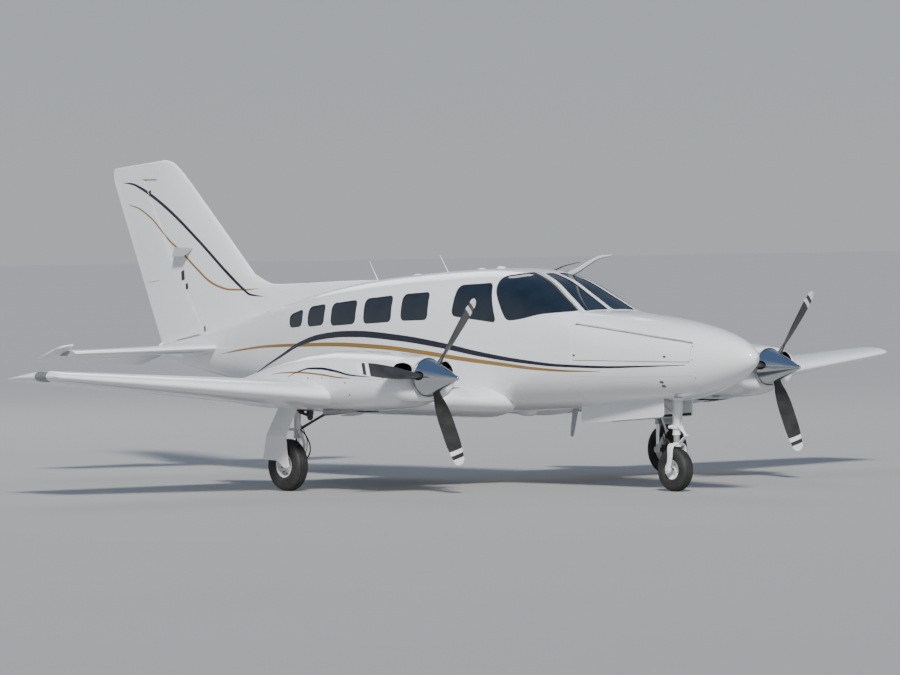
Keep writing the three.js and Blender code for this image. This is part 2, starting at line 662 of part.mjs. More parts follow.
const wing = wholeWing
  .subtract(aileronCove)
  .subtract(flapCove(FLAPS.inner))
  .subtract(flapCove(FLAPS.outer))
  .subtract(hullClear);
placeBothSides("wing", wing, paint);
placeBothSides("aileron", union(aileron, ...aileronPins(pin)), paint);
placeBothSides("flap_inner", flapPanel(FLAPS.inner), paint);
placeBothSides("flap_outer", flapPanel(FLAPS.outer), paint);

// Nacelle sections: station, half width, underside, widest height, top and how square it is.
const NACELLE = [
  [3048, 395, 1040, 1225, 1408, 2.6],
  [2960, 440, 975, 1215, 1446, 2.7],
  [2700, 468, 902, 1200, 1470, 2.8],
  [2300, 478, 868, 1190, 1486, 2.8],
  [1900, 478, 856, 1180, 1490, 2.8],
  [1500, 470, 852, 1170, 1466, 2.7],
  [950, 435, 852, 1150, 1362, 2.6],
  [300, 340, 866, 1080, 1212, 2.4],
  [-150, 210, 915, 1010, 1100, 2.2],
  [-430, 60, 985, 1002, 1020, 2.0],
];
function nacelleBody(inset = 0, sides = 16) {
  return loft(
    NACELLE.map(([x, half, low, widest, high, square]) => {
      const ring = [];
      for (let k = 0; k < sides; k++) {
        const angle = (k / sides) * 2 * Math.PI;
        const c = Math.cos(angle);
        const s = Math.sin(angle);
        const rise = (s >= 0 ? high - widest : widest - low) - inset;
        const y = Math.sign(c) * Math.abs(c) ** (2 / square) * (half - inset);
        ring.push([x, ENGINE_Y + y, widest + Math.sign(s) * Math.abs(s) ** (2 / square) * rise]);
      }
      return ring;
    }),
  );
}
const COWL = { wall: 30, firewallX: 2060, frontX: 3030 };
const ENGINE = { rear: 2060, front: 2880, half: 345, low: 1062, high: 1348 };
const INTAKE = { offset: 297, rise: 65, half: 112, high: 82 };
const engineBay = nacelleBody(COWL.wall, 12)
  .intersect(box([COWL.firewallX, 1500, 700], [COWL.frontX, 3300, 1700]));
function intakeHole(side) {
  const geometry = new THREE.CylinderGeometry(1, 1, 300, 14).rotateZ(Math.PI / 2);
  geometry.scale(1, INTAKE.half, INTAKE.high);
  return solidOf(geometry.translate(3000, ENGINE_Y + side * INTAKE.offset, HUB_Z + INTAKE.rise));
}
const SHAFT_RADIUS = 48;
const wingClear = union(wingBody(2 * GAP), wingBody(-2 * GAP), wholeWing);
const cowlFlap = loft([
  [
    [2210, ENGINE_Y - 130, 880], [2210, ENGINE_Y - 130, 900], [2210, ENGINE_Y + 130, 900],
    [2210, ENGINE_Y + 130, 880],
  ],
  [
    [1800, ENGINE_Y - 130, 800], [1800, ENGINE_Y - 130, 815], [1800, ENGINE_Y + 130, 815],
    [1800, ENGINE_Y + 130, 800],
  ],
]);
const strake = box([2700, ENGINE_Y - 560, 1100], [2985, ENGINE_Y - 400, 1114]);
const exhaust = bar([1700, ENGINE_Y + 250, 846], [2250, ENGINE_Y + 250, 905], 38, 10);
const nacelle = nacelleBody()
  .add(strake)
  .add(exhaust)
  .subtract(engineBay)
  .subtract(intakeHole(1))
  .subtract(intakeHole(-1))
  .subtract(bar([2950, ENGINE_Y, HUB_Z], [3100, ENGINE_Y, HUB_Z], SHAFT_RADIUS + 12, 20))
  .add(cowlFlap)
  .subtract(wingClear);
placeBothSides("nacelle", nacelle, paint);
placeBothSides(
  "engine_block",
  box(
    [ENGINE.rear + GAP, ENGINE_Y - ENGINE.half, ENGINE.low],
    [ENGINE.front, ENGINE_Y + ENGINE.half, ENGINE.high],
  ),
  steel,
);

// Propeller: distance from the axis, chord, thickness and pitch of each blade section.
const BLADE = [
  [90, 70, 60, 60],
  [200, 84, 52, 52],
  [300, 122, 34, 44],
  [480, 156, 22, 34],
  [700, 160, 14, 27],
  [940, 120, 8, 20],
  [PROP_RADIUS, 58, 4, 19],
];
const BLADE_PHASE = 53; // degrees from +Y towards +Z, of the first blade
const SPINNER = [[0, 520], [46, 430], [102, 290], [146, 170], [178, 80], [202, 0], [0, 0]];
const SPINNER_BASE_X = 3073;
function blade(phase) {
  const angle = THREE.MathUtils.degToRad(phase);
  const out = new THREE.Vector3(0, Math.cos(angle), Math.sin(angle));
  const forward = new THREE.Vector3(1, 0, 0);
  const moving = new THREE.Vector3().crossVectors(forward, out);
  const rings = BLADE.map(([radius, chord, thickness, pitch]) => {
    const p = THREE.MathUtils.degToRad(pitch);
    const chordWay = moving.clone().multiplyScalar(Math.cos(p)).addScaledVector(forward, Math.sin(p));
    const thickWay = forward.clone().multiplyScalar(Math.cos(p)).addScaledVector(moving, -Math.sin(p));
    const outline = [[0.5, 0], [0.3, 0.46], [-0.1, 0.48], [-0.5, 0], [-0.1, -0.4], [0.3, -0.4]];
    return outline.map(([along, across]) =>
      out.clone()
        .multiplyScalar(radius)
        .addScaledVector(chordWay, along * chord)
        .addScaledVector(thickWay, across * thickness).toArray(),
    );
  });
  return loft(rings);
}
function propeller() {
  const profile = [...SPINNER].reverse().map(([r, h]) => new THREE.Vector2(r, h));
  const spinnerGeometry = new THREE.LatheGeometry(profile, 20).rotateZ(-Math.PI / 2);
  const spinner = solidOf(spinnerGeometry.translate(SPINNER_BASE_X - BLADE_X, 0, 0));
  const shaft = bar([ENGINE.front + GAP - BLADE_X, 0, 0], [0, 0, 0], SHAFT_RADIUS, 20);
  return union(spinner, shaft, blade(BLADE_PHASE), blade(BLADE_PHASE + 120), blade(BLADE_PHASE + 240));
}
const propellerSolid = propeller();
place("propeller_left", propellerSolid, polished).position.set(BLADE_X, ENGINE_Y, HUB_Z);
place("propeller_right", propellerSolid, polished).position.set(BLADE_X, -ENGINE_Y, HUB_Z);

// Tailplane: distance from the centre plane, nose and tail stations, height, thickness over chord.
const TAILPLANE = [
  [0, -3170, -4450, 1404, 0.1],
  [250, -3222, -4440, 1400, 0.1],
  [1985, -3640, -4240, 1366, 0.1],
  [2100, -3680, -4225, 1364, 0.09],
  [2150, -3760, -4195, 1363, 0.05],
];
const wholeTailplane = loft(
  TAILPLANE.map(([y, noseX, tailX, z, thickness]) =>
    skinRing().map(([fraction, side]) => {
      const chord = noseX - tailX;
      const lean = (hinge.z - z) * ((chord * fraction) / (noseX - hinge.x));
      return [noseX - chord * fraction, y, z + lean + chord * skinPoint(fraction, side, thickness, 0)];
    }),
  ),
);
const HORN = { inner: 1990, gap: 8 };
const NOSE_RADIUS = { inner: 49, outer: 31 };
const tailRegion = (from, grow) => box([-4600, from, 1000], [hinge.x + grow, 2300, 1700]);
const hornRegion = (grow) => box([-4600, HORN.inner - grow, 1000], [-3000, 2300, 1700]);
const elevatorNose = bar(
  [hinge.x, hinge.inner, hinge.z], [hinge.x, HORN.inner + 5, hinge.z], NOSE_RADIUS.inner, 16,
  NOSE_RADIUS.outer,
);
const elevatorHalf = wholeTailplane.intersect(union(tailRegion(hinge.inner, 0), hornRegion(0), elevatorNose));
const elevatorClear = tailRegion(0, 0)
  .add(hornRegion(HORN.gap))
  .add(
    bar(
      [hinge.x, hinge.inner - 10, hinge.z], [hinge.x, HORN.inner, hinge.z], NOSE_RADIUS.inner + 6.3, 16,
      NOSE_RADIUS.outer + 6,
    ),
  )
  .add(bar([hinge.x, 0, hinge.z], [hinge.x, hinge.inner, hinge.z], TORQUE_TUBE_RADIUS + 8, 16));

// Each tailplane half is hollow ahead of its spar, and open at the root.
const TAILPLANE_WALL = 9;
const tailplaneSpace = loft(
  TAILPLANE.slice(0, 3).map(([y, noseX, tailX, z]) => {
    const chord = noseX - tailX;
    const point = (side) => (fraction) => [
      noseX - chord * fraction,
      Math.min(y, 1900),
      z +
        (hinge.z - z) * ((chord * fraction) / (noseX - hinge.x)) +
        side * (chord * skinPoint(fraction, 1, 0.1, 0) - TAILPLANE_WALL),
    ];
    const across = [0.08, 0.2, 0.34, 0.46];
    return [...across.map(point(1)), ...[...across].reverse().map(point(-1))];
  }),
);
placeBothSides(
  "tailplane", wholeTailplane.subtract(elevatorClear).subtract(tailplaneSpace).subtract(hullClear),
  paint,
);

// The elevator droops on its lower stop. It is modelled in line with the tailplane, then turned down.
const elevator = union(
  elevatorHalf,
  mirrorY(elevatorHalf),
  bar(
    [hinge.x, -hinge.inner - 20, hinge.z], [hinge.x, hinge.inner + 20, hinge.z], TORQUE_TUBE_RADIUS,
    PIN_SIDES,
  ),
);
const elevatorPivot = new THREE.Group();
elevatorPivot.position.set(hinge.x, 0, hinge.z);
elevatorPivot.rotation.y = THREE.MathUtils.degToRad(-ELEVATOR_REST);
aircraft.add(elevatorPivot);
place("elevator", elevator, paint, elevatorPivot).position.set(-hinge.x, 0, -hinge.z);

// Fin and rudder. Height, nose and tail stations and half thickness of each level section.
const finNose = (z) => -3537 - 1.13 * (z - 2802);
const finTail = (z) => -5535.4 + 0.441 * (3434 - z);
const FIN_LEVELS = [[1300, 92], [2100, 76], [2802, 54], [3300, 37], [3620, 30]];
const finBlade = loft(
  FIN_LEVELS.map(([z, half]) => {
    const noseX = finNose(z);
    const tailX = finTail(z);
    return skinRing().map(([fraction, side]) => [
      noseX - (noseX - tailX) * fraction,
      half * 10 * skinPoint(fraction, side, 0.2, 0),
      z,
    ]);
  }),
);
const FIN_OUTLINE = [
  [-2100, 1300], [-2800, 2150], [-3537, 2802], [-3907, 3093], [-4097, 3265], [-4277, 3415], [-4380, 3486],
  [-4480, 3518], [-4570, 3530], [-5545, 3436], [-5545, 3300], [-4590, 1300],
];
const RUDDER = { low: [-3777, 1530], high: [-4967, 3310], lowR: 66, highR: 33, horn: 3300, hornX: -4677 };
const rudderSide = (grow) => [
  [RUDDER.low[0], RUDDER.low[1] - 2 * grow],
  RUDDER.low,
  [RUDDER.high[0], RUDDER.horn - 1.4 * grow],
  [RUDDER.hornX + grow, RUDDER.horn - 1.4 * grow],
  [RUDDER.hornX + grow, 3700],
  [-5800, 3700],
  [-5800, 1250],
];
const verticalTail = finBlade.intersect(slabXZ(FIN_OUTLINE, -200, 200));
const hingeEnds = [[RUDDER.low[0], 0, RUDDER.low[1]], [RUDDER.high[0], 0, RUDDER.high[1] - 12]];
// The rudder's foot pin reaches down into the tail cone's sternpost.
const RUDDER_PIN = { reach: 110, root: 107, radius: 12 };
const rudderPin = [extended(hingeEnds, RUDDER_PIN.reach)[0], extended(hingeEnds, -RUDDER_PIN.root)[0]];
const rudderFoot = slabXZ(
  [[-3700, 1557], [-4650, 1403], [-4800, 1379], [-4800, 1000], [-3700, 1000]], -300, 300,
);
const rudder = verticalTail
  .intersect(slabXZ(rudderSide(0), -200, 200).add(bar(...hingeEnds, RUDDER.lowR, 16, RUDDER.highR)))
  .subtract(rudderFoot)
  .add(pin(...rudderPin, RUDDER_PIN.radius));
const rudderCove = slabXZ(rudderSide(RUNNING_GAP), -300, 300).add(
  bar(...extended(hingeEnds, 60), RUDDER.lowR + RUNNING_GAP + 1, 16, RUDDER.highR + RUNNING_GAP),
);
// The dorsal fillet: station, half width at its foot and top height.
const DORSAL = [
  [-297, 14, 2200], [-1247, 52, 2166], [-2077, 66, 2132], [-2527, 72, 2122], [-2900, 72, 2230],
  [-3300, 70, 2420],
];
const dorsal = loft(
  DORSAL.map(([x, half, top]) => [
    [x, -half, 1500], [x, half, 1500], [x, half, top - 90], [x, half * 0.72, top - 30], [x, half * 0.3, top],
    [x, -half * 0.3, top], [x, -half * 0.72, top - 30], [x, -half, top - 90],
  ]),
);
// A pair of small plates stands out from the fin, one on each side.
const FIN_PLATE = { z: 2548, drop: 128, reach: 150, top: [-4347, -3950], foot: [-4250, -4050] };
const finPlate = (side) => {
  const { z, drop, reach, top, foot } = FIN_PLATE;
  const ring = (y, sag) => [
    [top[0] + sag, side * y, z - sag],
    [top[1] + sag, side * y, z - sag],
    [top[1] + sag, side * y, z + 8 - sag],
    [top[0] + sag, side * y, z + 8 - sag],
  ];
  return loft([ring(20, 0), ring(reach, 60)])
    .intersect(box([foot[0] - 200, -400, z - drop], [foot[1] + 300, 400, z + 20]));
};
const aftWhip = bar([-667, 0, 2160], [-830, 0, 2385], 7, 8, 3);
// The fin and its fillet are hollow, and open at the foot.
const FIN_WALL = 14;
const FIN_SPACE = [0.1, 0.2, 0.32, 0.45, 0.57];
const finSpace = loft(
  [1300, 2100, 2802, 3230].map((z) => {
    const above = FIN_LEVELS.findIndex(([level]) => level >= z) || 1;
    const [[z0, half0], [z1, half1]] = [FIN_LEVELS[above - 1], FIN_LEVELS[above]];
    const half = half0 + ((half1 - half0) * (z - z0)) / (z1 - z0);
    const point = (side) => (fraction) => [
      finNose(z) - (finNose(z) - finTail(z)) * fraction,
      side * (half * 10 * skinPoint(fraction, 1, 0.2, 0) - FIN_WALL),
      z,
    ];
    return [...FIN_SPACE.map(point(1)), ...[...FIN_SPACE].reverse().map(point(-1))];
  }),
);
const dorsalSpace = loft(
  DORSAL.slice(1).map(([x, half, top]) => [
    [x, FIN_WALL - half, 1400], [x, half - FIN_WALL, 1400], [x, half - FIN_WALL, top - 96],
    [x, half * 0.6, top - 50],
    [x, -half * 0.6, top - 50], [x, FIN_WALL - half, top - 96],
  ]),
);
const rudderHole = pinHole(...rudderPin, RUDDER_PIN.radius);
const finBody = union(verticalTail.subtract(rudderCove), dorsal).subtract(finSpace).subtract(dorsalSpace);
place(
  "fin", union(finBody, aftWhip, finPlate(1), finPlate(-1)).subtract(hullClear).subtract(rudderHole),
  paint,
);
place("rudder", rudder, paint);
place("tail_cone", tailCone.subtract(rudderHole), paint);

// Wheels. A tyre is a ring of rounded section, and a rim is a dished wheel with a bore for its axle.
const AXLE_RADIUS = 18;
const WHEEL_SIDES = 24;
function ringAboutY(profile, sides = WHEEL_SIDES) {
  const solid = solidOf(new THREE.LatheGeometry(profile.map(([r, y]) => new THREE.Vector2(r, y)), sides));
  return solid.volume() > 0 ? solid : ringAboutY([...profile].reverse(), sides);
}
function tyre({ radius, width, rim }) {
  const w = width / 2;
  const side = radius - rim;
  return ringAboutY([
    [rim + GAP, -w * 0.72], [rim + side * 0.4, -w], [rim + side * 0.86, -w * 0.86], [radius, -w * 0.5],
    [radius, w * 0.5], [
      rim + side * 0.86, w * 0.86,
    ], [rim + side * 0.4, w], [rim + GAP, w * 0.72], [rim + GAP, -w * 0.72],
  ]);
}
function rim({ width, rim: radius }) {
  const w = width * 0.36;
  const bore = (AXLE_RADIUS + GAP) / Math.cos(Math.PI / WHEEL_SIDES);
  return ringAboutY([
    [bore, -w * 0.6], [radius - 26, -w * 0.4], [radius - 12, -w], [radius, -w],
    [radius, w], [radius - 12, w], [radius - 26, w * 0.4], [bore, w * 0.6], [bore, -w * 0.6],
  ]);
}
const mainTyre = tyre(MAIN_WHEEL);
const mainRim = rim(MAIN_WHEEL);
for (const [side, name] of [[1, "left"], [-1, "right"]]) {
  place("main_tyre_" + name, mainTyre, rubber)
    .position.set(MAIN_WHEEL.x, side * MAIN_WHEEL.y, MAIN_WHEEL.radius);
  place("main_rim_" + name, mainRim, polished)
    .position.set(MAIN_WHEEL.x, side * MAIN_WHEEL.y, MAIN_WHEEL.radius);
}
place("nose_tyre", tyre(NOSE_WHEEL), rubber).position.set(NOSE_WHEEL.x, 0, NOSE_WHEEL.radius);
place("nose_rim", rim(NOSE_WHEEL), polished).position.set(NOSE_WHEEL.x, 0, NOSE_WHEEL.radius);

// Main leg: cylinder, sliding piston with torque links, stub axle, side brace and brake.
const LEG = {
  x: MAIN_WHEEL.x, y: 2545, cylinderR: 36, pistonR: 26, cylinderLow: 560, axleZ: MAIN_WHEEL.radius,
};
const legCylinder = bar([LEG.x, LEG.y, LEG.cylinderLow], [LEG.x, LEG.y, 1000], LEG.cylinderR, 14);
const legParts = [
  legCylinder,
  bar([LEG.x, LEG.y, LEG.axleZ - 10], [LEG.x, LEG.y, LEG.cylinderLow + 10], LEG.pistonR, 12),
  bar([LEG.x, LEG.y - 30, LEG.axleZ], [LEG.x, MAIN_WHEEL.y + 52, LEG.axleZ], AXLE_RADIUS, 12),
  bar([LEG.x, LEG.y - 34, LEG.axleZ], [LEG.x, LEG.y + 34, LEG.axleZ], 36, 12),
  bar([LEG.x + 20, LEG.y, LEG.cylinderLow + 60], [LEG.x + 128, LEG.y, LEG.cylinderLow - 72], 13, 6),
  bar([LEG.x + 128, LEG.y, LEG.cylinderLow - 72], [LEG.x + 16, LEG.y, LEG.axleZ + 60], 13, 6),
  bar(
    [LEG.x + 128, LEG.y - 22, LEG.cylinderLow - 72], [LEG.x + 128, LEG.y + 22, LEG.cylinderLow - 72], 17,
    8,
  ),
  box([LEG.x + 40, LEG.y + 4, LEG.axleZ - 60], [LEG.x + 108, LEG.y + 34, LEG.axleZ + 60]),
  box([LEG.x - 20, LEG.y - 12, LEG.axleZ - 22], [LEG.x + 60, LEG.y + 20, LEG.axleZ + 22]),
  bar([LEG.x + 4, LEG.y - 10, LEG.cylinderLow + 60], [LEG.x + 60, 2128, 930], 17, 8),
  bar([LEG.x - 70, LEG.y - 40, 780], [LEG.x - 70, LEG.y - 40, 960], 30, 10),
  bar([LEG.x - 70, LEG.y - 40, 800], [LEG.x, LEG.y, 830], 16, 8),
];
const underWing = box([-500, 400, -100], [2500, 6000, 985]);
const nacelleClear = nacelleBody(-GAP);
const legAll = union(...legParts).intersect(underWing).subtract(wingClear).subtract(nacelleClear);
placeBothSides("main_leg", legAll, steel);

// Leg door: a bent plate outboard of the wheel, held to the leg by two arms.
// Each row: height, inner face, rear edge and front edge.
const DOOR_PLATE = [
  [880, 2650, 923, 1233],
  [585, 2778, 868, 1193],
  [330, 2778, 813, 1232],
  [322, 2778, 1050, 1234],
  [250, 2778, 1165, 1243],
];
const plateRing = ([z, y, rear, front]) => [
  [rear, y, z], [front, y, z], [front, y + 12, z], [rear, y + 12, z],
];
const doorArms = [
  bar([LEG.x, LEG.y, 800], [LEG.x, 2695, 800], 14, 8),
  bar([LEG.x, LEG.y, 650], [LEG.x, 2760, 650], 14, 8),
];
const legDoor = union(loft(DOOR_PLATE.map(plateRing)), ...doorArms)
  .subtract(bar([LEG.x, LEG.y, LEG.cylinderLow - 20], [LEG.x, LEG.y, 1000], LEG.cylinderR + GAP, 14))
  .subtract(wingClear)
  .subtract(nacelleClear);
placeBothSides("leg_door", legDoor, paint);

// A hose of eight sides along a smooth curve through its points.
function hose(points, radius, steps) {
  const section = new THREE.Shape();
  for (let k = 0; k < 8; k++) {
    const angle = (k / 8) * 2 * Math.PI;
    if (k) section.lineTo(radius * Math.cos(angle), radius * Math.sin(angle));
    else section.moveTo(radius, 0);
  }
  section.closePath();
  const path = new THREE.CatmullRomCurve3(points.map((p) => new THREE.Vector3(...p)));
  return solidOf(new THREE.ExtrudeGeometry(section, { steps, extrudePath: path, bevelEnabled: false }));
}
const BRAKE_HOSE = [
  [LEG.x + 20, LEG.y - 8, 655],
  [LEG.x + 66, LEG.y - 30, 600],
  [LEG.x + 110, LEG.y - 45, 540],
  [LEG.x + 165, LEG.y - 45, 480],
  [LEG.x + 185, LEG.y - 35, 410],
  [LEG.x + 150, LEG.y - 4, 376],
  [LEG.x + 96, LEG.y + 18, 372],
  [LEG.x + 76, LEG.y + 19, 320],
];
const hoseEnds = union(
  bar([LEG.x, LEG.y, LEG.cylinderLow - 5], [LEG.x, LEG.y, 1000], LEG.cylinderR + GAP, 14),
  box([LEG.x + 36, LEG.y - 10, LEG.axleZ - 70], [LEG.x + 120, LEG.y + 50, LEG.axleZ + 60 + GAP]),
);
placeBothSides("brake_hose", hose(BRAKE_HOSE, 7, 14).subtract(hoseEnds), rubber);

// Nose leg: a trunnion and cylinder fixed in the well, with a brace running aft. Below it the fork steers.
const STRUT = { x: NOSE_WHEEL.x + 22, cylinderR: 40, low: 590, housingR: 66 };
const trunnion = bar([STRUT.x, 0, 780], [STRUT.x, 0, WELL.roof - GAP], STRUT.cylinderR, 14, STRUT.housingR);
const noseLeg = union(
  trunnion,
  bar([STRUT.x, 0, STRUT.low], [STRUT.x, 0, 800], STRUT.cylinderR, 14),
  box([STRUT.x - 60, -WELL.half + GAP, WELL.roof - 92], [STRUT.x + 60, WELL.half - GAP, WELL.roof - 40]),
  bar([STRUT.x - 20, 60, 830], [STRUT.x - 520, 95, WELL.roof + 40], 15, 8),
  bar([STRUT.x - 20, -60, 830], [STRUT.x - 520, -95, WELL.roof + 40], 15, 8),
  bar([STRUT.x - 20, -75, 830], [STRUT.x - 20, 75, 830], 18, 8),
).intersect(box([3300, -300, 0], [5000, 300, WELL.roof - GAP]));
place("nose_leg", noseLeg, paint);

const CROWN_Z = 492;
const fork = union(
  ringAboutZ(
    [
      [STRUT.cylinderR + 1.4, 655], [60, 655], [60, 700], [STRUT.cylinderR + 1.4, 700],
      [STRUT.cylinderR + 1.4, 655],
    ],
  ),
  bar([STRUT.x, 0, CROWN_Z - 10], [STRUT.x, 0, STRUT.low - GAP], 30, 12),
  box([STRUT.x - 50, -112, CROWN_Z - 26], [STRUT.x + 46, 112, CROWN_Z + 14]),
  forkArm(1),
  forkArm(-1),
  bar([NOSE_WHEEL.x, -112, NOSE_WHEEL.radius], [NOSE_WHEEL.x, 112, NOSE_WHEEL.radius], AXLE_RADIUS, 12),
  bar([STRUT.x + 50, 0, 678], [STRUT.x + 148, 0, 588], 14, 6),
  bar([STRUT.x + 148, 0, 588], [STRUT.x + 30, 0, CROWN_Z], 14, 6),
  bar([STRUT.x + 148, -22, 588], [STRUT.x + 148, 22, 588], 17, 8),
);
place("nose_fork", fork, paint);
function ringAboutZ(profile) {
  return solidOf(geometryOf(ringAboutY(profile, 14)).rotateX(Math.PI / 2).translate(STRUT.x, 0, 0));
}
function forkArm(side) {
  const y = side * 99;
  const ring = ([x, z, half]) => [
    [x - half, y - 13, z], [x + half, y - 13, z], [x + half, y + 13, z], [x - half, y + 13, z],
  ];
  return loft(
    [
      ring([STRUT.x, CROWN_Z, 46]), ring([STRUT.x + 4, 380, 30]),
      ring([NOSE_WHEEL.x, NOSE_WHEEL.radius, 30]), ring([NOSE_WHEEL.x, NOSE_WHEEL.radius - 26, 20]),
    ],
  );
}

// Nose gear doors hang open on both sides of the well.
const gearDoor = loft([
  [[2993, 197, 690], [2993, 209, 690], [2993, 209, 900], [2993, 197, 900]],
  [[4303, 197, 786], [4303, 209, 786], [4303, 209, 1010], [4303, 197, 1010]],
]).subtract(hullClear);
placeBothSides("nose_gear_door", gearDoor, paint);

// Inside the cabin: seats on their rails, and the panel with its two control wheels.
function seat(x, y, width, tall = 1010) {
  const level = (lower, upper, half, z) => [
    [lower, y - half, z], [upper, y - half, z], [upper, y + half, z], [lower, y + half, z],
  ];
  const backTop = FLOOR_Z + tall - 160;
  return union(
    box([x, y - width / 2, FLOOR_Z + 230], [x + 460, y + width / 2, FLOOR_Z + 370]),
    box([x + 60, y - width / 2 + 80, FLOOR_Z + GAP], [x + 400, y + width / 2 - 80, FLOOR_Z + 250]),
    loft([level(x - 30, x + 80, width / 2, FLOOR_Z + 300), level(x - 130, x - 50, width / 2 - 30, backTop)]),
    box([x - 140, y - 120, backTop - 10], [x - 60, y + 120, FLOOR_Z + tall]),
  );
}
const SEAT = { y: 325, width: 420, rearY: 270, rearWidth: 380, rearTall: 860 };
const seatRail = (rear, front, y) => box([rear, y - 60, FLOOR_Z + GAP], [front, y + 60, FLOOR_Z + 20]);
const crewBar = box([2050, -SEAT.y, FLOOR_Z + GAP], [2150, SEAT.y, FLOOR_Z + 20]);
place("crew_seats", union(seat(1980, SEAT.y, 440), seat(1980, -SEAT.y, 440), crewBar), leather);
const seatRow = (side) => (x) => seat(x, side * SEAT.y, SEAT.width);
const rearSeat = (x, side) => seat(x, side * SEAT.rearY, SEAT.rearWidth, SEAT.rearTall);
place(
  "cabin_seats_left",
  union(seatRail(-1100, 1500, 300), ...[1150, 400].map(seatRow(1)), rearSeat(-1190, 1)), leather,
);
place(
  "cabin_seats_right",
  union(seatRail(-1000, 1500, -300), ...[1150, 400, -340].map(seatRow(-1)), rearSeat(-1060, -1)),
  leather,
);
const panelFace = lining.intersect(
  slabXZ([[2960, FLOOR_Z + GAP], [3120, FLOOR_Z + GAP], [3120, 1830], [2900, 1830]], -560, 560),
);
const fitted = panelFace.intersect(fuselageBody(WALL + 6 + GAP));
const controlWheel = (y) =>
  union(
    bar([2600, y, 1500], [3000, y, 1500], 14, 6),
    box([2585, y - 150, 1485], [2605, y + 150, 1515]),
    box([2585, y - 150, 1485], [2605, y - 120, 1590]),
    box([2585, y + 120, 1485], [2605, y + 150, 1590]),
  );
place("instrument_panel", union(fitted, controlWheel(SEAT.y), controlWheel(-SEAT.y)), darkPaint);

export default aircraft;
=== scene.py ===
"""A light twin piston aircraft on its wheels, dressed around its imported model. Shapes are worked out in
millimetres."""
import math

import bmesh
import bpy
import numpy as np
from mathutils import Matrix


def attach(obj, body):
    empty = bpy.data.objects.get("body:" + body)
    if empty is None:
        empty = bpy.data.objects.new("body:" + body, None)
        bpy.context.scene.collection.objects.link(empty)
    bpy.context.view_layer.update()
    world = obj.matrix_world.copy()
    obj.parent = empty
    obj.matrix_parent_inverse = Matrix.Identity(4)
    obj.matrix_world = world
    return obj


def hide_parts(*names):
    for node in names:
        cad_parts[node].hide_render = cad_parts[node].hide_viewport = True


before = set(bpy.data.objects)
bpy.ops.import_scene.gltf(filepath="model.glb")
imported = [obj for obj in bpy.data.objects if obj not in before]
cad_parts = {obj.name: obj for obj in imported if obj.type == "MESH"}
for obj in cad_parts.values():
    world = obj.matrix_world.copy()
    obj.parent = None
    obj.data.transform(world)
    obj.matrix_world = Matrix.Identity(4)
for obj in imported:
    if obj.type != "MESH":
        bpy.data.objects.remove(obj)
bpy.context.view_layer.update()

MM = 1000.0


# Camera

def aim_camera():
    """The camera stands far off the starboard bow, a little above eye height, with a long lens."""
    stand = (56.163, -45.87, 3.26)
    yaw, pitch, roll = (math.radians(a) for a in (50.48, -1.35, -0.41))
    camera = bpy.data.objects.new("camera", bpy.data.cameras.new("camera"))
    bpy.context.scene.collection.objects.link(camera)
    camera.data.lens = 264.6
    camera.data.sensor_width = 36.0
    camera.data.clip_end = 500.0
    camera.location = stand
    forward = np.array([-math.sin(yaw) * math.cos(pitch), math.cos(yaw) * math.cos(pitch), math.sin(pitch)])
    level = np.cross(forward, (0, 0, 1))
    level /= np.linalg.norm(level)
    above = np.cross(level, forward)
    right = level * math.cos(roll) + above * math.sin(roll)
    up = above * math.cos(roll) - level * math.sin(roll)
    turn = np.stack([right, up, -forward], axis=1)
    camera.rotation_mode = "QUATERNION"
    camera.rotation_quaternion = Matrix(turn.tolist()).to_quaternion()
    bpy.context.scene.camera = camera


aim_camera()


# Surfaces

def through(table, x):
    """Smooth values between the rows of a table, whose first column rises. Each stretch is a cubic, and its
    slope at a row is the harmonic mean of the slopes on both sides, or level where they point opposite
    ways."""
    table = np.asarray(table, float)
    x = np.asarray(x, float)
    xs, ys = table[:, 0], table[:, 1:]
    gap = np.diff(xs)[:, None]
    slope = np.diff(ys, axis=0) / gap
    before, after = slope[:-1], slope[1:]
    same = before * after > 0
    mean = np.where(same, 2 * before * after / np.where(same, before + after, 1), 0)
    tangent = np.concatenate([slope[:1], mean, slope[-1:]])
    k = np.clip(np.searchsorted(xs, x) - 1, 0, len(xs) - 2)
    h = gap[k, 0]
    t = np.clip((x - xs[k]) / h, 0, 1)[..., None]
    h = h[..., None]
    return (
        ys[k] * (2 * t**3 - 3 * t**2 + 1)
        + tangent[k] * h * (t**3 - 2 * t**2 + t)
        + ys[k + 1] * (3 * t**2 - 2 * t**3)
        + tangent[k + 1] * h * (t**3 - t**2)
    )


def grid_form(points, wrap=False, ring=False, caps=False):
    """Points in rows and columns, joined by four-sided faces. Wrap joins the last column to the first, ring
    the last row to the first, and caps closes the first and the last row with a flat face."""
    points = np.asarray(points, float)
    rows, cols = points.shape[:2]
    index = np.arange(rows * cols).reshape(rows, cols)
    ends = [index[0][::-1].tolist(), index[-1].tolist()]
    if wrap:
        index = np.concatenate([index, index[:, :1]], axis=1)
    if ring:
        index = np.concatenate([index, index[:1]], axis=0)
    quads = np.stack([index[:-1, :-1], index[:-1, 1:], index[1:, 1:], index[1:, :-1]], axis=-1)
    faces = quads.reshape(-1, 4).tolist()
    if caps:
        faces += ends
    return points.reshape(-1, 3), faces


def ring_body(rings):
    """Rings in a row, joined to a body that is closed at both ends."""
    return grid_form(rings, wrap=True, caps=True)


def together(*forms):
    """Several forms as one."""
    points, faces, start = [], [], 0
    for some, joined in forms:
        points.append(some)
        faces += [[i + start for i in face] for face in joined]
        start += len(some)
    return np.concatenate(points), faces


def mirrored(form):
    """The form on the other side of the centre plane: y changes its sign, and each face its turning."""
    return form[0] * (1, -1, 1), [face[::-1] for face in form[1]]


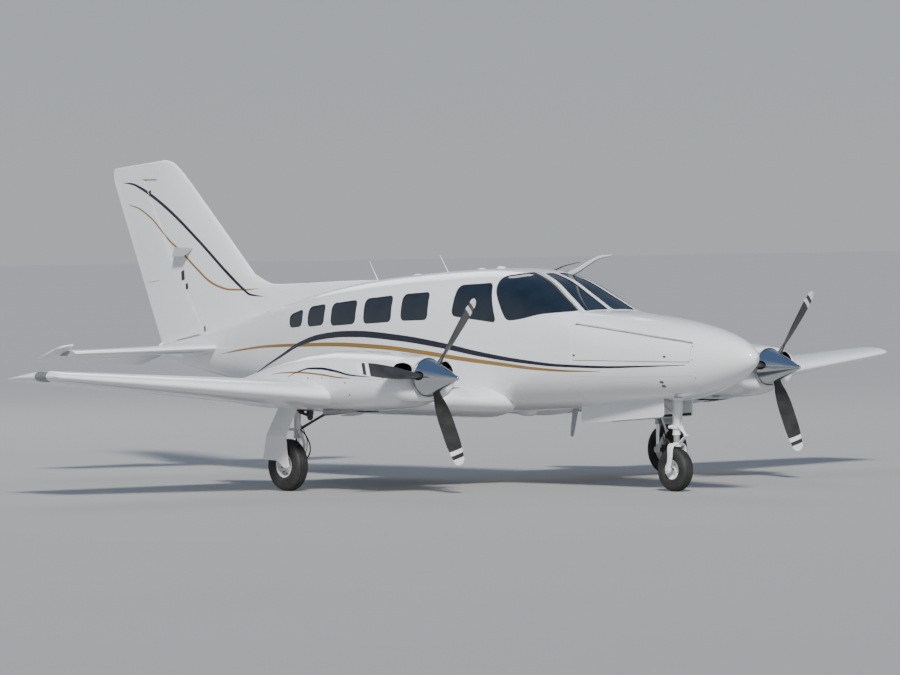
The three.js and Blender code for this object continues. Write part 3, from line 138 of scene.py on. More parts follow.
def moved(form, by):
    """The form shifted by a vector."""
    return form[0] + np.asarray(by, float), form[1]


def whole_turn(count):
    """Even angles of a whole turn, without the last one, which is the first again."""
    return np.linspace(0, 2 * math.pi, count, endpoint=False)


def frames_along(path, up=(0, 0, 1)):
    """Two directions square to a path at each of its points. The first is as near to up as it can be."""
    tangent = np.gradient(path, axis=0)
    tangent /= np.linalg.norm(tangent, axis=1, keepdims=True)
    side = np.cross(tangent, np.asarray(up, float))
    weak = np.linalg.norm(side, axis=1, keepdims=True) < 1e-3
    side = np.where(weak, np.cross(tangent, (1.0, 0.0, 0.02)), side)
    side /= np.linalg.norm(side, axis=1, keepdims=True)
    return side, np.cross(side, tangent)


def tube(path, radius, sides=24, flat=1.0, up=(0, 0, 1)):
    """A round section carried along a path. The radius may change along it, and flat squeezes it towards
    up."""
    path = np.asarray(path, float)
    side, high = frames_along(path, up)
    turn = whole_turn(sides)
    radius = np.broadcast_to(np.asarray(radius, float), len(path))[:, None, None]
    ring = np.cos(turn)[None, :, None] * side[:, None] + flat * np.sin(turn)[None, :, None] * high[:, None]
    return ring_body(path[:, None] + radius * ring)


def lengths_along(points):
    """Length of the chords from the first point to each point."""
    return np.concatenate([[0], np.cumsum(np.linalg.norm(np.diff(points, axis=0), axis=1))])


def curve_through(points, count):
    """A smooth path through points: each coordinate is a smooth function of the length along their chords."""
    points = np.asarray(points, float)
    along = lengths_along(points)
    return through(np.column_stack([along, points]), np.linspace(0, along[-1], count))


def rod(start, end, radius, sides=24, end_radius=None):
    """A straight round bar, tapered where its end radius differs."""
    ends = np.linspace(start, end, 2)
    return tube(ends, [radius, radius if end_radius is None else end_radius], sides)


def lathe(profile, centre, axis="y", steps=96):
    """A profile of (radius, distance along the axis) turned about an axis through the centre."""
    profile = np.asarray(profile, float)
    turn = whole_turn(steps)
    a = profile[:, :1] * np.cos(turn)
    b = profile[:, :1] * np.sin(turn)
    c = np.broadcast_to(profile[:, 1:2], a.shape)
    order = {"x": (c, a, b), "y": (a, c, b), "z": (a, b, c)}[axis]
    return grid_form(np.stack(order, axis=-1) + np.asarray(centre, float), wrap=True)


def block(low, high, bevel=0.0):
    """A box. A bevel cuts its edges back at 45 degrees, in plan and at its top and foot."""
    (x0, y0, z0), (x1, y1, z1) = low, high
    b = bevel

    def level(z, inset):
        i = inset
        return [
            [x0 + i, y0 + b, z], [x0 + b, y0 + i, z], [x1 - b, y0 + i, z], [x1 - i, y0 + b, z],
            [x1 - i, y1 - b, z], [x1 - b, y1 - i, z], [x0 + b, y1 - i, z], [x0 + i, y1 - b, z],
        ]

    if not b:
        flat = lambda z: [[x0, y0, z], [x1, y0, z], [x1, y1, z], [x0, y1, z]]
        return ring_body(np.array([flat(z0), flat(z1)], float))
    rows = [level(z0, b), level(z0 + b, 0), level(z1 - b, 0), level(z1, b)]
    corners = np.array(rows, float)
    corners[0, :, :2] = np.clip(corners[0, :, :2], [x0 + b, y0 + b], [x1 - b, y1 - b])
    corners[3, :, :2] = np.clip(corners[3, :, :2], [x0 + b, y0 + b], [x1 - b, y1 - b])
    return ring_body(corners)


def prism(outline, low, high, axis="y"):
    """A flat outline pushed along an axis. The outline holds the two other coordinates, in their order."""
    outline = np.asarray(outline, float)
    at = lambda v: np.full(len(outline), float(v))
    a, b = outline[:, 0], outline[:, 1]
    order = {"x": lambda v: (at(v), a, b), "y": lambda v: (a, at(v), b), "z": lambda v: (a, b, at(v))}[axis]
    rows = [np.stack(order(v), axis=-1) for v in (low, high)]
    return ring_body(np.stack(rows))


def even_outline(points, count):
    """A closed outline walked round at even steps."""
    points = np.asarray(points, float)
    closed = np.concatenate([points, points[:1]])
    along = lengths_along(closed)
    at = np.linspace(0, along[-1], count, endpoint=False)
    return np.stack([np.interp(at, along, closed[:, i]) for i in range(closed.shape[1])], axis=-1)


def rounded(corners, radius, count=96):
    """An outline whose corners become quadratic curves that start and end a radius away from them."""
    corners = np.asarray(corners, float)

    def towards(other):
        step = other - corners
        length = np.linalg.norm(step, axis=1, keepdims=True)
        return corners + step / length * np.minimum(radius, length / 2.2)

    start, end = towards(np.roll(corners, 1, axis=0)), towards(np.roll(corners, -1, axis=0))
    t = np.linspace(0, 1, 12)[None, :, None]
    curve = (1 - t) ** 2 * start[:, None] + 2 * t * (1 - t) * corners[:, None] + t**2 * end[:, None]
    return even_outline(curve.reshape(-1, 2), count)


def shrunk(outline, by):
    """An outline moved inwards along its own normals."""
    step = np.roll(outline, -1, axis=0) - np.roll(outline, 1, axis=0)
    normal = np.stack([-step[:, 1], step[:, 0]], axis=-1)
    normal /= np.maximum(np.linalg.norm(normal, axis=1, keepdims=True), 1e-9)
    area = np.sum(outline[:, 0] * np.roll(outline[:, 1], -1) - np.roll(outline[:, 0], -1) * outline[:, 1])
    return outline + normal * (by if area > 0 else -by)


# Pieces

def bare(form, finish=None, name="work"):
    """A form as a plain object, its faces turned outwards."""
    points, faces = form
    mesh = bpy.data.meshes.new(name)
    mesh.from_pydata((points / MM).tolist(), [], faces)
    work = bmesh.new()
    work.from_mesh(mesh)
    bmesh.ops.remove_doubles(work, verts=work.verts, dist=1e-5)
    bmesh.ops.recalc_face_normals(work, faces=work.faces)
    work.to_mesh(mesh)
    work.free()
    obj = bpy.data.objects.new(name, mesh)
    bpy.context.scene.collection.objects.link(obj)
    if finish:
        mesh.materials.append(finish)
    return obj


def boolean(obj, other, operation, finish=None):
    """Joins, cuts or keeps the common part. The faces that the other object leaves get its finish."""
    if isinstance(other, tuple):
        other = bare(other)
    if not other.data.materials:
        other.data.materials.append(finish or obj.data.materials[0])
    modifier = obj.modifiers.new("join", "BOOLEAN")
    modifier.operation = operation
    modifier.solver = "MANIFOLD"
    modifier.object = other
    modifier.material_mode = "TRANSFER"
    bpy.context.view_layer.update()
    graph = bpy.context.evaluated_depsgraph_get()
    result = bpy.data.meshes.new_from_object(obj.evaluated_get(graph), depsgraph=graph)
    obj.modifiers.clear()
    old, obj.data = obj.data, result
    bpy.data.meshes.remove(old)
    bpy.data.objects.remove(other)
    return obj


def cut(obj, other, finish=None):
    return boolean(obj, other, "DIFFERENCE", finish)


def join(obj, other):
    return boolean(obj, other, "UNION")


def common(obj, other):
    return boolean(obj, other, "INTERSECT")


def dress(obj, name, body="airframe", crease=32, stands_for=()):
    """An object becomes a piece: smooth faces with sharp edges where it turns quickly, and a body to ride
    on."""
    obj.name = name
    obj.data.name = name
    count = len(obj.data.polygons)
    obj.data.polygons.foreach_set("use_smooth", np.ones(count, bool))
    obj.data.set_sharp_from_angle(angle=math.radians(crease))
    obj.data.update()
    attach(obj, body)
    if stands_for:
        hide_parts(*stands_for)
    return obj


def piece(name, form, finish, body="airframe", crease=32, stands_for=()):
    return dress(bare(form, finish), name, body, crease, stands_for)


def both_sides(name, form, finish, bodies="airframe", crease=32, stands_for=()):
    """The same piece to port and mirrored to starboard. The names and bodies of a pair are given as one
    pattern."""
    for side, shape in (("left", form), ("right", mirrored(form))):
        body = bodies if isinstance(bodies, str) else bodies[side]
        nodes = [node + "_" + side for node in stands_for]
        piece(name + "_" + side, shape, finish, body, crease, nodes)


def dress_both(obj, name, bodies="airframe", crease=32, stands_for=()):
    """A finished object to port and its mirror image to starboard."""
    twin = obj.copy()
    twin.data = obj.data.copy()
    twin.data.transform(Matrix.Scale(-1, 4, (0, 1, 0)))
    twin.data.flip_normals()
    bpy.context.scene.collection.objects.link(twin)
    for side, shape in (("left", obj), ("right", twin)):
        body = bodies if isinstance(bodies, str) else bodies[side]
        dress(shape, name + "_" + side, body, crease, [node + "_" + side for node in stands_for])


PAIR = lambda name: {"left": name + "_port", "right": name + "_starboard"}


# Finishes

def new_group(name, inputs, outputs):
    group = bpy.data.node_groups.new(name, "ShaderNodeTree")
    for label, kind, value in inputs:
        group.interface.new_socket(label, in_out="INPUT", socket_type=kind).default_value = value
    for label, kind in outputs:
        group.interface.new_socket(label, in_out="OUTPUT", socket_type=kind)
    return group, group.nodes.new("NodeGroupInput"), group.nodes.new("NodeGroupOutput")


def math_node(nodes, links, operation, a, b=None, c=None):
    node = nodes.new("ShaderNodeMath")
    node.operation = operation
    for socket, value in zip(node.inputs, (a, b, c)):
        if value is None:
            continue
        if isinstance(value, (int, float)):
            socket.default_value = value
        else:
            links.new(value, socket)
    return node.outputs[0]


def colour_mix(nodes, links, share, first):
    """A mix of two colours by a mask, with its first colour linked."""
    mix = nodes.new("ShaderNodeMix")
    mix.data_type = "RGBA"
    links.new(share, mix.inputs["Factor"])
    links.new(first, mix.inputs["A"])
    return mix


FLOAT, COLOR = "NodeSocketFloat", "NodeSocketColor"


def make_grime_group():
    """Grime: broad cloudy patches and fine speckle, joined into one mask, with a fine height for a bump."""
    group, source, sink = new_group(
        "grime",
        [
            ("Broad scale", FLOAT, 3.0), ("Fine scale", FLOAT, 60.0), ("Amount", FLOAT, 0.3),
            ("Base rough", FLOAT, 0.3), ("Clean", COLOR, (1, 1, 1, 1)),
            ("Dirty", COLOR, (0.5, 0.48, 0.45, 1)),
        ],
        [("Color", COLOR), ("Roughness", FLOAT), ("Height", FLOAT)],
    )
    nodes, links = group.nodes, group.links
    where = nodes.new("ShaderNodeTexCoord")
    broad = nodes.new("ShaderNodeTexNoise")
    broad.inputs["Detail"].default_value = 6.0
    broad.inputs["Roughness"].default_value = 0.62
    fine = nodes.new("ShaderNodeTexNoise")
    fine.inputs["Detail"].default_value = 3.0
    for texture, scale in ((broad, "Broad scale"), (fine, "Fine scale")):
        links.new(where.outputs["Object"], texture.inputs["Vector"])
        links.new(source.outputs[scale], texture.inputs["Scale"])
    lifted = math_node(nodes, links, "SUBTRACT", broad.outputs["Fac"], 0.45)
    clouds = math_node(nodes, links, "MULTIPLY", lifted, 3.0)
    speck = math_node(nodes, links, "MULTIPLY", fine.outputs["Fac"], 0.5)
    both = math_node(nodes, links, "ADD", clouds, speck)
    kept = math_node(nodes, links, "MAXIMUM", both, 0.0)
    mask = math_node(nodes, links, "MULTIPLY", kept, source.outputs["Amount"])
    held = math_node(nodes, links, "MINIMUM", mask, 1.0)
    mix = colour_mix(nodes, links, held, source.outputs["Clean"])
    links.new(source.outputs["Dirty"], mix.inputs["B"])
    links.new(mix.outputs["Result"], sink.inputs["Color"])
    rougher = math_node(nodes, links, "MULTIPLY", held, 0.35)
    rough = math_node(nodes, links, "ADD", source.outputs["Base rough"], rougher)
    links.new(rough, sink.inputs["Roughness"])
    links.new(fine.outputs["Fac"], sink.inputs["Height"])
    return group


GRIME = make_grime_group()


def finish_of(
    name, clean, dirty, amount, rough, metallic=0.0, broad=3.0, fine=60.0, bump=0.02, depth=0.0005, **sockets,
):
    """A finish whose colour, roughness and height all come from the grime group."""
    material = bpy.data.materials.new(name)
    material.use_nodes = True
    nodes, links = material.node_tree.nodes, material.node_tree.links
    shader = nodes["Principled BSDF"]
    grime = nodes.new("ShaderNodeGroup")
    grime.node_tree = GRIME
    grime.inputs["Broad scale"].default_value = broad
    grime.inputs["Fine scale"].default_value = fine
    grime.inputs["Amount"].default_value = amount
    grime.inputs["Base rough"].default_value = rough
    grime.inputs["Clean"].default_value = (*clean, 1)
    grime.inputs["Dirty"].default_value = (*dirty, 1)
    links.new(grime.outputs["Color"], shader.inputs["Base Color"])
    links.new(grime.outputs["Roughness"], shader.inputs["Roughness"])
    relief = nodes.new("ShaderNodeBump")
    relief.inputs["Strength"].default_value = bump
    relief.inputs["Distance"].default_value = depth
    links.new(grime.outputs["Height"], relief.inputs["Height"])
    links.new(relief.outputs["Normal"], shader.inputs["Normal"])
    shader.inputs["Metallic"].default_value = metallic
    for socket, value in sockets.items():
        shader.inputs[socket.replace("_", " ")].default_value = value
    return material


white_paint = finish_of(
    "white_paint", (0.84, 0.85, 0.87), (0.66, 0.66, 0.66), 0.16, 0.2, bump=0.03, depth=0.001, broad=1.1,
    fine=14.0, Coat_Weight=0.6, Coat_Roughness=0.08,
)
gear_paint = finish_of(
    "gear_paint", (0.78, 0.79, 0.8), (0.4, 0.38, 0.35), 0.35, 0.34, broad=9.0, fine=90.0, bump=0.1,
)
navy_paint = finish_of("navy_paint", (0.004, 0.006, 0.018), (0.02, 0.022, 0.035), 0.2, 0.25, Coat_Weight=0.25)
gold_paint = finish_of("gold_paint", (0.27, 0.155, 0.032), (0.2, 0.125, 0.04), 0.3, 0.3, Coat_Weight=0.25)
# Dark grey for seams, fasteners and vents, and painted shade on the doorway's cut faces and round the tip
# lenses.
dark_seam_and_shade = finish_of("dark_seam_and_shade", (0.13, 0.135, 0.14), (0.06, 0.06, 0.06), 0.5, 0.6)
# Mid grey: painted shade on the nacelle strakes and fin plates, which lie out of the light, and the grey of
# the belly blade.
grey_and_painted_shade = finish_of("grey_and_painted_shade", (0.38, 0.39, 0.41), (0.26, 0.255, 0.25), 0.3, 0.35, broad=8.0)
# Mid grey for panel seams, and painted shade on the cut faces in the gaps at the control surfaces.
soft_seam_and_gap_shade = finish_of("soft_seam_and_gap_shade", (0.42, 0.43, 0.44), (0.3, 0.3, 0.3), 0.4, 0.5)
# Near black rubber for seals and hoses, and painted shade on the inner faces of the nose doors.
black_rubber_and_shade = finish_of(
    "black_rubber_and_shade", (0.018, 0.018, 0.02), (0.05, 0.05, 0.05), 0.4, 0.55, bump=0.1, fine=300.0,
)
tyre_rubber = finish_of(
    "tyre_rubber", (0.014, 0.014, 0.015), (0.07, 0.065, 0.058), 0.4, 0.62, broad=12.0, fine=220.0, bump=0.25,
    depth=0.001,
)
polished_metal = finish_of(
    "polished_metal", (0.62, 0.64, 0.66), (0.42, 0.43, 0.45), 0.2, 0.07, metallic=1.0, broad=6.0, fine=120.0,
    bump=0.02,
)
bare_steel = finish_of(
    "bare_steel", (0.42, 0.43, 0.44), (0.2, 0.18, 0.16), 0.4, 0.3, metallic=1.0, broad=14.0, fine=160.0,
    bump=0.08,
)
chrome_rod = finish_of(
    "chrome_rod", (0.75, 0.76, 0.78), (0.5, 0.5, 0.5), 0.15, 0.06, metallic=1.0, broad=10.0,
)
dark_metal = finish_of(
    "dark_metal", (0.06, 0.06, 0.065), (0.14, 0.12, 0.1), 0.5, 0.45, metallic=0.6, broad=10.0, bump=0.15,
)
# Near black: painted shade inside openings, on the walls of the cowls, intakes, outlets, wells, wheel holes,
# blade slots and exhaust bores.
opening_shade = finish_of("opening_shade", (0.012, 0.012, 0.013), (0.03, 0.028, 0.026), 0.5, 0.7)
engine_grey = finish_of(
    "engine_grey", (0.22, 0.22, 0.23), (0.08, 0.07, 0.06), 0.6, 0.5, metallic=0.7, broad=12.0, bump=0.2,
)
trim_cream = finish_of(
    "trim_cream", (0.5, 0.47, 0.42), (0.36, 0.33, 0.29), 0.3, 0.7, broad=7.0, fine=400.0, bump=0.15,
)
panel_dark = finish_of("panel_dark", (0.03, 0.03, 0.033), (0.07, 0.07, 0.07), 0.3, 0.55, fine=350.0, bump=0.2)
dial_face = finish_of("dial_face", (0.008, 0.008, 0.009), (0.02, 0.02, 0.02), 0.2, 0.15)


def leather_finish():
    """Leather: small cells between creases give the height, and broad clouds the wear."""
    material = finish_of(
        "seat_leather", (0.23, 0.215, 0.2), (0.34, 0.32, 0.295), 0.35, 0.46, broad=8.0, fine=200.0,
    )
    nodes, links = material.node_tree.nodes, material.node_tree.links
    where = nodes.new("ShaderNodeTexCoord")
    grain = nodes.new("ShaderNodeTexVoronoi")
    grain.inputs["Scale"].default_value = 420.0
    links.new(where.outputs["Object"], grain.inputs["Vector"])
    relief = nodes.new("ShaderNodeBump")
    relief.inputs["Strength"].default_value = 0.25
    relief.inputs["Distance"].default_value = 0.0006
    links.new(grain.outputs["Distance"], relief.inputs["Height"])
    links.new(relief.outputs["Normal"], nodes["Principled BSDF"].inputs["Normal"])
    return material


def glass_finish(name, tint, alpha):
    """Tinted panes: a dark see-through sheet with a clear gloss."""
    material = bpy.data.materials.new(name)
    material.use_nodes = True
    nodes, links = material.node_tree.nodes, material.node_tree.links
    shader = nodes["Principled BSDF"]
    shader.inputs["Metallic"].default_value = 0.0
    shader.inputs["Roughness"].default_value = 0.03
    shader.inputs["Specular IOR Level"].default_value = 0.8
    shader.inputs["Coat Weight"].default_value = 0.4
    grime = nodes.new("ShaderNodeGroup")
    grime.node_tree = GRIME
    grime.inputs["Clean"].default_value = (*tint, 1)
    grime.inputs["Dirty"].default_value = tuple(min(1, c * 1.8 + 0.03) for c in tint) + (1,)
    grime.inputs["Amount"].default_value = 0.25
    grime.inputs["Broad scale"].default_value = 5.0
    links.new(grime.outputs["Color"], shader.inputs["Base Color"])
    shader.inputs["Alpha"].default_value = alpha
    return material


# In metres from the propeller's axis.
WHITE_BAND, WHITE_TIP = (0.832, 0.88), 0.925


def blade_finish(name, centre):
    """Blades are satin black. Near the tip come a white band, a black band and a white tip, by the distance
    from the propeller's axis."""
    material = finish_of(
        name, (0.02, 0.02, 0.022), (0.075, 0.072, 0.07), 0.35, 0.36, broad=9.0, fine=120.0, bump=0.05,
    )
    nodes, links = material.node_tree.nodes, material.node_tree.links
    shader = nodes["Principled BSDF"]
    where = nodes.new("ShaderNodeTexCoord")
    place = nodes.new("ShaderNodeMapping")
    place.inputs["Location"].default_value = (0.0, -centre[1], -centre[2])
    place.inputs["Scale"].default_value = (0.0, 1.0, 1.0)
    links.new(where.outputs["Object"], place.inputs["Vector"])
    length = nodes.new("ShaderNodeVectorMath")
    length.operation = "LENGTH"
    links.new(place.outputs["Vector"], length.inputs[0])
    far = length.outputs["Value"]
    outer = math_node(nodes, links, "GREATER_THAN", far, WHITE_TIP)
    inner = math_node(nodes, links, "GREATER_THAN", far, WHITE_BAND[0])
    stop = math_node(nodes, links, "LESS_THAN", far, WHITE_BAND[1])
    band = math_node(nodes, links, "MULTIPLY", inner, stop)
    white = math_node(nodes, links, "MAXIMUM", outer, band)
    mix = colour_mix(nodes, links, white, shader.inputs["Base Color"].links[0].from_socket)
    mix.inputs["B"].default_value = (0.8, 0.8, 0.8, 1)
    links.new(mix.outputs["Result"], shader.inputs["Base Color"])
    return material


seat_leather = leather_finish()
cabin_glass = glass_finish("cabin_glass", (0.006, 0.012, 0.02), 0.8)
screen_glass = glass_finish("screen_glass", (0.006, 0.012, 0.02), 0.76)
lamp_glass = glass_finish("lamp_glass", (0.25, 0.27, 0.28), 0.45)


# Fuselage skin

# Station, half width, belly, widest height, crown, and how square the upper and lower halves are.
WINDSHIELD_FOOT = 3253
TAIL_ROWS = [
    [-4640, 62, 1290, 1358, 1428, 2.0, 2.0], [-4147, 150, 1186, 1366, 1522, 2.0, 2.0],
    [-3647, 232, 1100, 1370, 1602, 2.1, 2.1], [-2947, 348, 1005, 1378, 1725, 2.6, 2.2],
    [-2247, 478, 905, 1380, 1865, 3.2, 2.3], [-1497, 602, 822, 1376, 2005, 4.0, 2.5],
    [-947, 668, 776, 1370, 2102, 3.9, 2.6], [-347, 712, 746, 1366, 2188, 3.6, 2.8],
    [353, 728, 742, 1364, 2252, 3.6, 2.9], [1053, 728, 755, 1366, 2298, 3.5, 2.9],
    [1653, 720, 781, 1368, 2320, 3.3, 2.8], [2153, 704, 806, 1370, 2302, 3.1, 2.7],
    [2553, 678, 829, 1372, 2218, 3.1, 2.6], [2953, 642, 851, 1374, 2035, 3.6, 2.5],
    [WINDSHIELD_FOOT, 612, 874, 1376, 1882, 4.0, 2.45],
]
NOSE_ROWS = [
    [WINDSHIELD_FOOT, 612, 874, 1376, 1882, 4.0, 2.45], [3503, 582, 897, 1378, 1868, 3.3, 2.4],
    [3953, 525, 930, 1382, 1838, 2.4, 2.3], [4453, 446, 963, 1388, 1788, 2.25, 2.2],
    [4853, 356, 1040, 1395, 1722, 2.15, 2.1], [5153, 258, 1148, 1402, 1648, 2.1, 2.05],
    [5370, 158, 1254, 1410, 1562, 2.05, 2.0], [5500, 62, 1350, 1415, 1478, 2.0, 2.0],
    [5537, 4, 1413, 1417, 1421, 2.0, 2.0],
]
SKIN_PROUD = 3.0
SKIN_DEEP = 5.0
NOSE_SEAM_X = 4917


def hull_section(x):
    x = np.asarray(x, float)
    both = np.where((x > WINDSHIELD_FOOT)[..., None], through(NOSE_ROWS, x), through(TAIL_ROWS, x))
    return np.moveaxis(both, -1, 0)


def width_at(section, z):
    """Half width of a section at a height. Each one is a superellipse, |y/half|^n + |z/rise|^n = 1."""
    half, belly, widest, crown, upper, lower = section
    high = z >= widest
    rise = np.where(high, crown - widest, widest - belly)
    power = np.where(high, upper, lower)
    share = np.clip(np.abs(z - widest) / rise, 0, 0.99999)
    return half * (1 - share**power) ** (1 / power)


def skin_y(x, z):
    """Half width of the hull at a station and a height."""
    return width_at(hull_section(x), z)


def skin_z(x, y):
    """Height of the hull's upper skin, from the same superellipse."""
    half, belly, widest, crown, upper, lower = hull_section(x)
    share = np.clip(np.abs(y) / half, 0, 0.99999)
    return widest + (crown - widest) * (1 - share**upper) ** (1 / upper)


def on_side(x, z, depth=0.0, side=1, surface=skin_y):
    """The point of a side surface at a station and a height, moved inwards along its normal by a depth."""
    x, z = np.broadcast_arrays(np.asarray(x, float), np.asarray(z, float))
    step = 2.0
    y = surface(x, z)
    along = (surface(x + step, z) - surface(x - step, z)) / (2 * step)
    upward = (surface(x, z + step) - surface(x, z - step)) / (2 * step)
    normal = np.stack([-along, np.ones_like(y), -upward], axis=-1)
    normal /= np.linalg.norm(normal, axis=-1, keepdims=True)
    return (np.stack([x, y, z], axis=-1) - np.asarray(depth, float)[..., None] * normal) * (1, side, 1)


def both_places(surface=skin_y, lift=0.0):
    """For each side, a function that places a point of a side surface which is raised by a lift."""
    return {side: (lambda x, z, d, side=side: on_side(x, z, d - lift, side, surface)) for side in (1, -1)}


def on_top(x, y, depth=0.0):
    """The point of the hull's upper skin at a station and a distance to port, moved inwards by a depth."""
    x, y = np.broadcast_arrays(np.asarray(x, float), np.asarray(y, float))
    step = 2.0
    z = skin_z(x, y)
    along = (skin_z(x + step, y) - skin_z(x - step, y)) / (2 * step)
    across = (skin_z(x, y + step) - skin_z(x, y - step)) / (2 * step)
    normal = np.stack([-along, -across, np.ones_like(z)], axis=-1)
    normal /= np.linalg.norm(normal, axis=-1, keepdims=True)
    return np.stack([x, y, z], axis=-1) - np.asarray(depth, float)[..., None] * normal


def hull_rings(x, grow=0.0, around=144, section=hull_section):
    """Rings at even angles about a body's widest line: the radius at an angle solves the superellipse."""
    half, belly, widest, crown, upper, lower = (v[:, None] for v in section(x))
    turn = whole_turn(around)[None]
    c, s = np.cos(turn), np.sin(turn)
    high = s >= 0
    wide = np.maximum(half + grow, 1)
    tall = np.maximum(np.where(high, crown - widest, widest - belly) + grow, 1)
    power = np.where(high, upper, lower)
    radius = ((np.abs(c) / wide) ** power + (np.abs(s) / tall) ** power) ** (-1 / power)
    return np.stack([np.broadcast_to(x[:, None], radius.shape), radius * c, widest + radius * s], axis=-1)


def hull_shell(x, outer, inner, around=144):
    """Two hulls of different growth, one inside the other, closed at both ends."""
    rings = np.concatenate([hull_rings(x, outer, around), hull_rings(x, inner, around)[::-1]])
    return grid_form(rings, wrap=True, ring=True)


def slab(outline, rings, place, top, foot):
    """Rings run from the middle of an outline to its edge at the top depth, and back to the middle at the
    foot depth."""
    middle = outline.mean(axis=0)
    flat = middle + np.linspace(0, 1, rings)[:, None, None] * (outline - middle)
    layers = [place(flat[..., 0], flat[..., 1], depth) for depth in (top, foot)]
    return grid_form(np.concatenate([layers[0], layers[1][::-1]]), wrap=True)


def side_panel(outline, top, foot, side=1, surface=skin_y, rings=12):
    """A slab in a side surface, with an outline of stations and heights."""
    return slab(outline, rings, lambda x, z, d: on_side(x, z, d, side, surface), top, foot)


def top_panel(outline, top, foot, rings=14):
    """A slab in the upper skin, with an outline in plan."""
    return slab(outline, rings, on_top, top, foot)


def frame_ring(outline, section, place):
    """A frame round an opening: each corner of its section is (growth of the outline, depth under the
    skin)."""
    loops = [shrunk(outline, -grow) for grow, _ in section]
    rows = [place(loop[:, 0], loop[:, 1], depth) for loop, (_, depth) in zip(loops, section)]
    return grid_form(np.stack(rows), wrap=True, ring=True)


# Windows as seen from the side: station and height of the corners, from the lower rear one.
CABIN_WINDOWS = [
    [[-1510, 1650], [-1245, 1671], [-1260, 1866], [-1540, 1796]],
    [[-1130, 1667], [-805, 1693], [-815, 1926], [-1150, 1889]],
    [[-668, 1684], [-210, 1712], [-225, 1977], [-690, 1934]],
    [[-62, 1714], [424, 1742], [400, 2032], [-90, 1989]],
    [[586, 1755], [1047, 1771], [1015, 2075], [565, 2044]],
    [[1436, 1818], [2170, 1752], [1950, 2177], [1440, 2147]],
]
DOOR_WINDOW = 2
SIDE_SCREEN = [
    [2320, 1774], [2520, 1793], [2800, 1850], [3215, 1885], [3250, 2010], [2338, 2300], [1990, 2245],
    [2040, 2104],
]
POST_HALF = 27.0
POST_START = 1995


def post_y(x):
    """Middle line in plan of the slanting post between the windshield and the side screen."""
    return 160 + (x - 2250) * 0.219


def screen_outline():
    """The side screen ends at the slanting post: its upper edge stays under the line where the post meets the
    skin."""
    outline = rounded(SIDE_SCREEN, 70, 420)
    limit = skin_z(outline[:, 0], post_y(outline[:, 0]) + POST_HALF)
    outline[:, 1] = np.minimum(outline[:, 1], np.where(outline[:, 0] > POST_START, limit, 3000))
    return even_outline(outline, 200)


WINDSHIELD = {"rear": 2345, "front": 3232, "centre": 28}


def windshield_outline():
    """One pane in plan, on the port side of the centre post."""
    rear, front, centre = WINDSHIELD["rear"], WINDSHIELD["front"], WINDSHIELD["centre"]
    corners = [
        [front, centre], [front, post_y(front) - POST_HALF], [rear, post_y(rear) - POST_HALF], [rear, centre],
    ]
    return rounded(corners, 38, 200)


cabin_outlines = [rounded(corners, 72, 120) for corners in CABIN_WINDOWS]
screen = screen_outline()
pane_in_plan = windshield_outline()

DOOR = {
    "rear": -738.5, "front": -141.5, "sill": 1035, "split": 1560, "split_gap": 9, "head": 2040, "gap": 6,
    "hinge_gap": 22,
}
BAGGAGE = {
    "rear": 3300, "front": 4880, "sill": 1375, "rear_head": 1745, "front_head": 1560, "gap": 6,
    "head_gap": 21,
}


def door_outline(low, high, grow=0.0, corner=34.0):
    """A rounded oblong between the door's ends, from one height to another."""
    rear, front = DOOR["rear"] - grow, DOOR["front"] + grow
    return rounded(
        [[rear, low - grow], [front, low - grow], [front, high + grow], [rear, high + grow]], corner, 160,
    )


def doorway_outline(more=0.0):
    """The doorway is wider than the door at the head and the sill, where the halves swing on their hinges."""
    rise = DOOR["hinge_gap"] - DOOR["gap"]
    return door_outline(DOOR["sill"] - rise, DOOR["head"] + rise, DOOR["gap"] + more)


def baggage_outline(grow=0.0, head_grow=0.0):
    """A rounded four-sided outline whose head falls towards the nose."""
    b = BAGGAGE
    return rounded(
        [
            [b["rear"] - grow, b["sill"] - grow], [b["front"] + grow, b["sill"] - grow],
            [b["front"] + grow, b["front_head"] + head_grow], [b["rear"] - grow, b["rear_head"] + head_grow],
        ],
        26,
        220,
    )


def mirrored_prisms(outline, near=200, far=900):
    """The outline pushed through both sides of the hull."""
    form = prism(outline, near, far)
    return [form, mirrored(form)]


def window_cutters(grow):
    forms = []
    for outline in [*cabin_outlines, screen]:
        forms += mirrored_prisms(shrunk(outline, -grow))
    plan = prism(shrunk(pane_in_plan, -grow), 1700, 2700, "z")
    return forms + [plan, mirrored(plan)]


WELL = {"rear": 2993, "front": 4345, "half": 190}
RUDDER_FOOT = [[-3704, 1531], [-4800, 1367], [-4800, 1800], [-3704, 1800]]


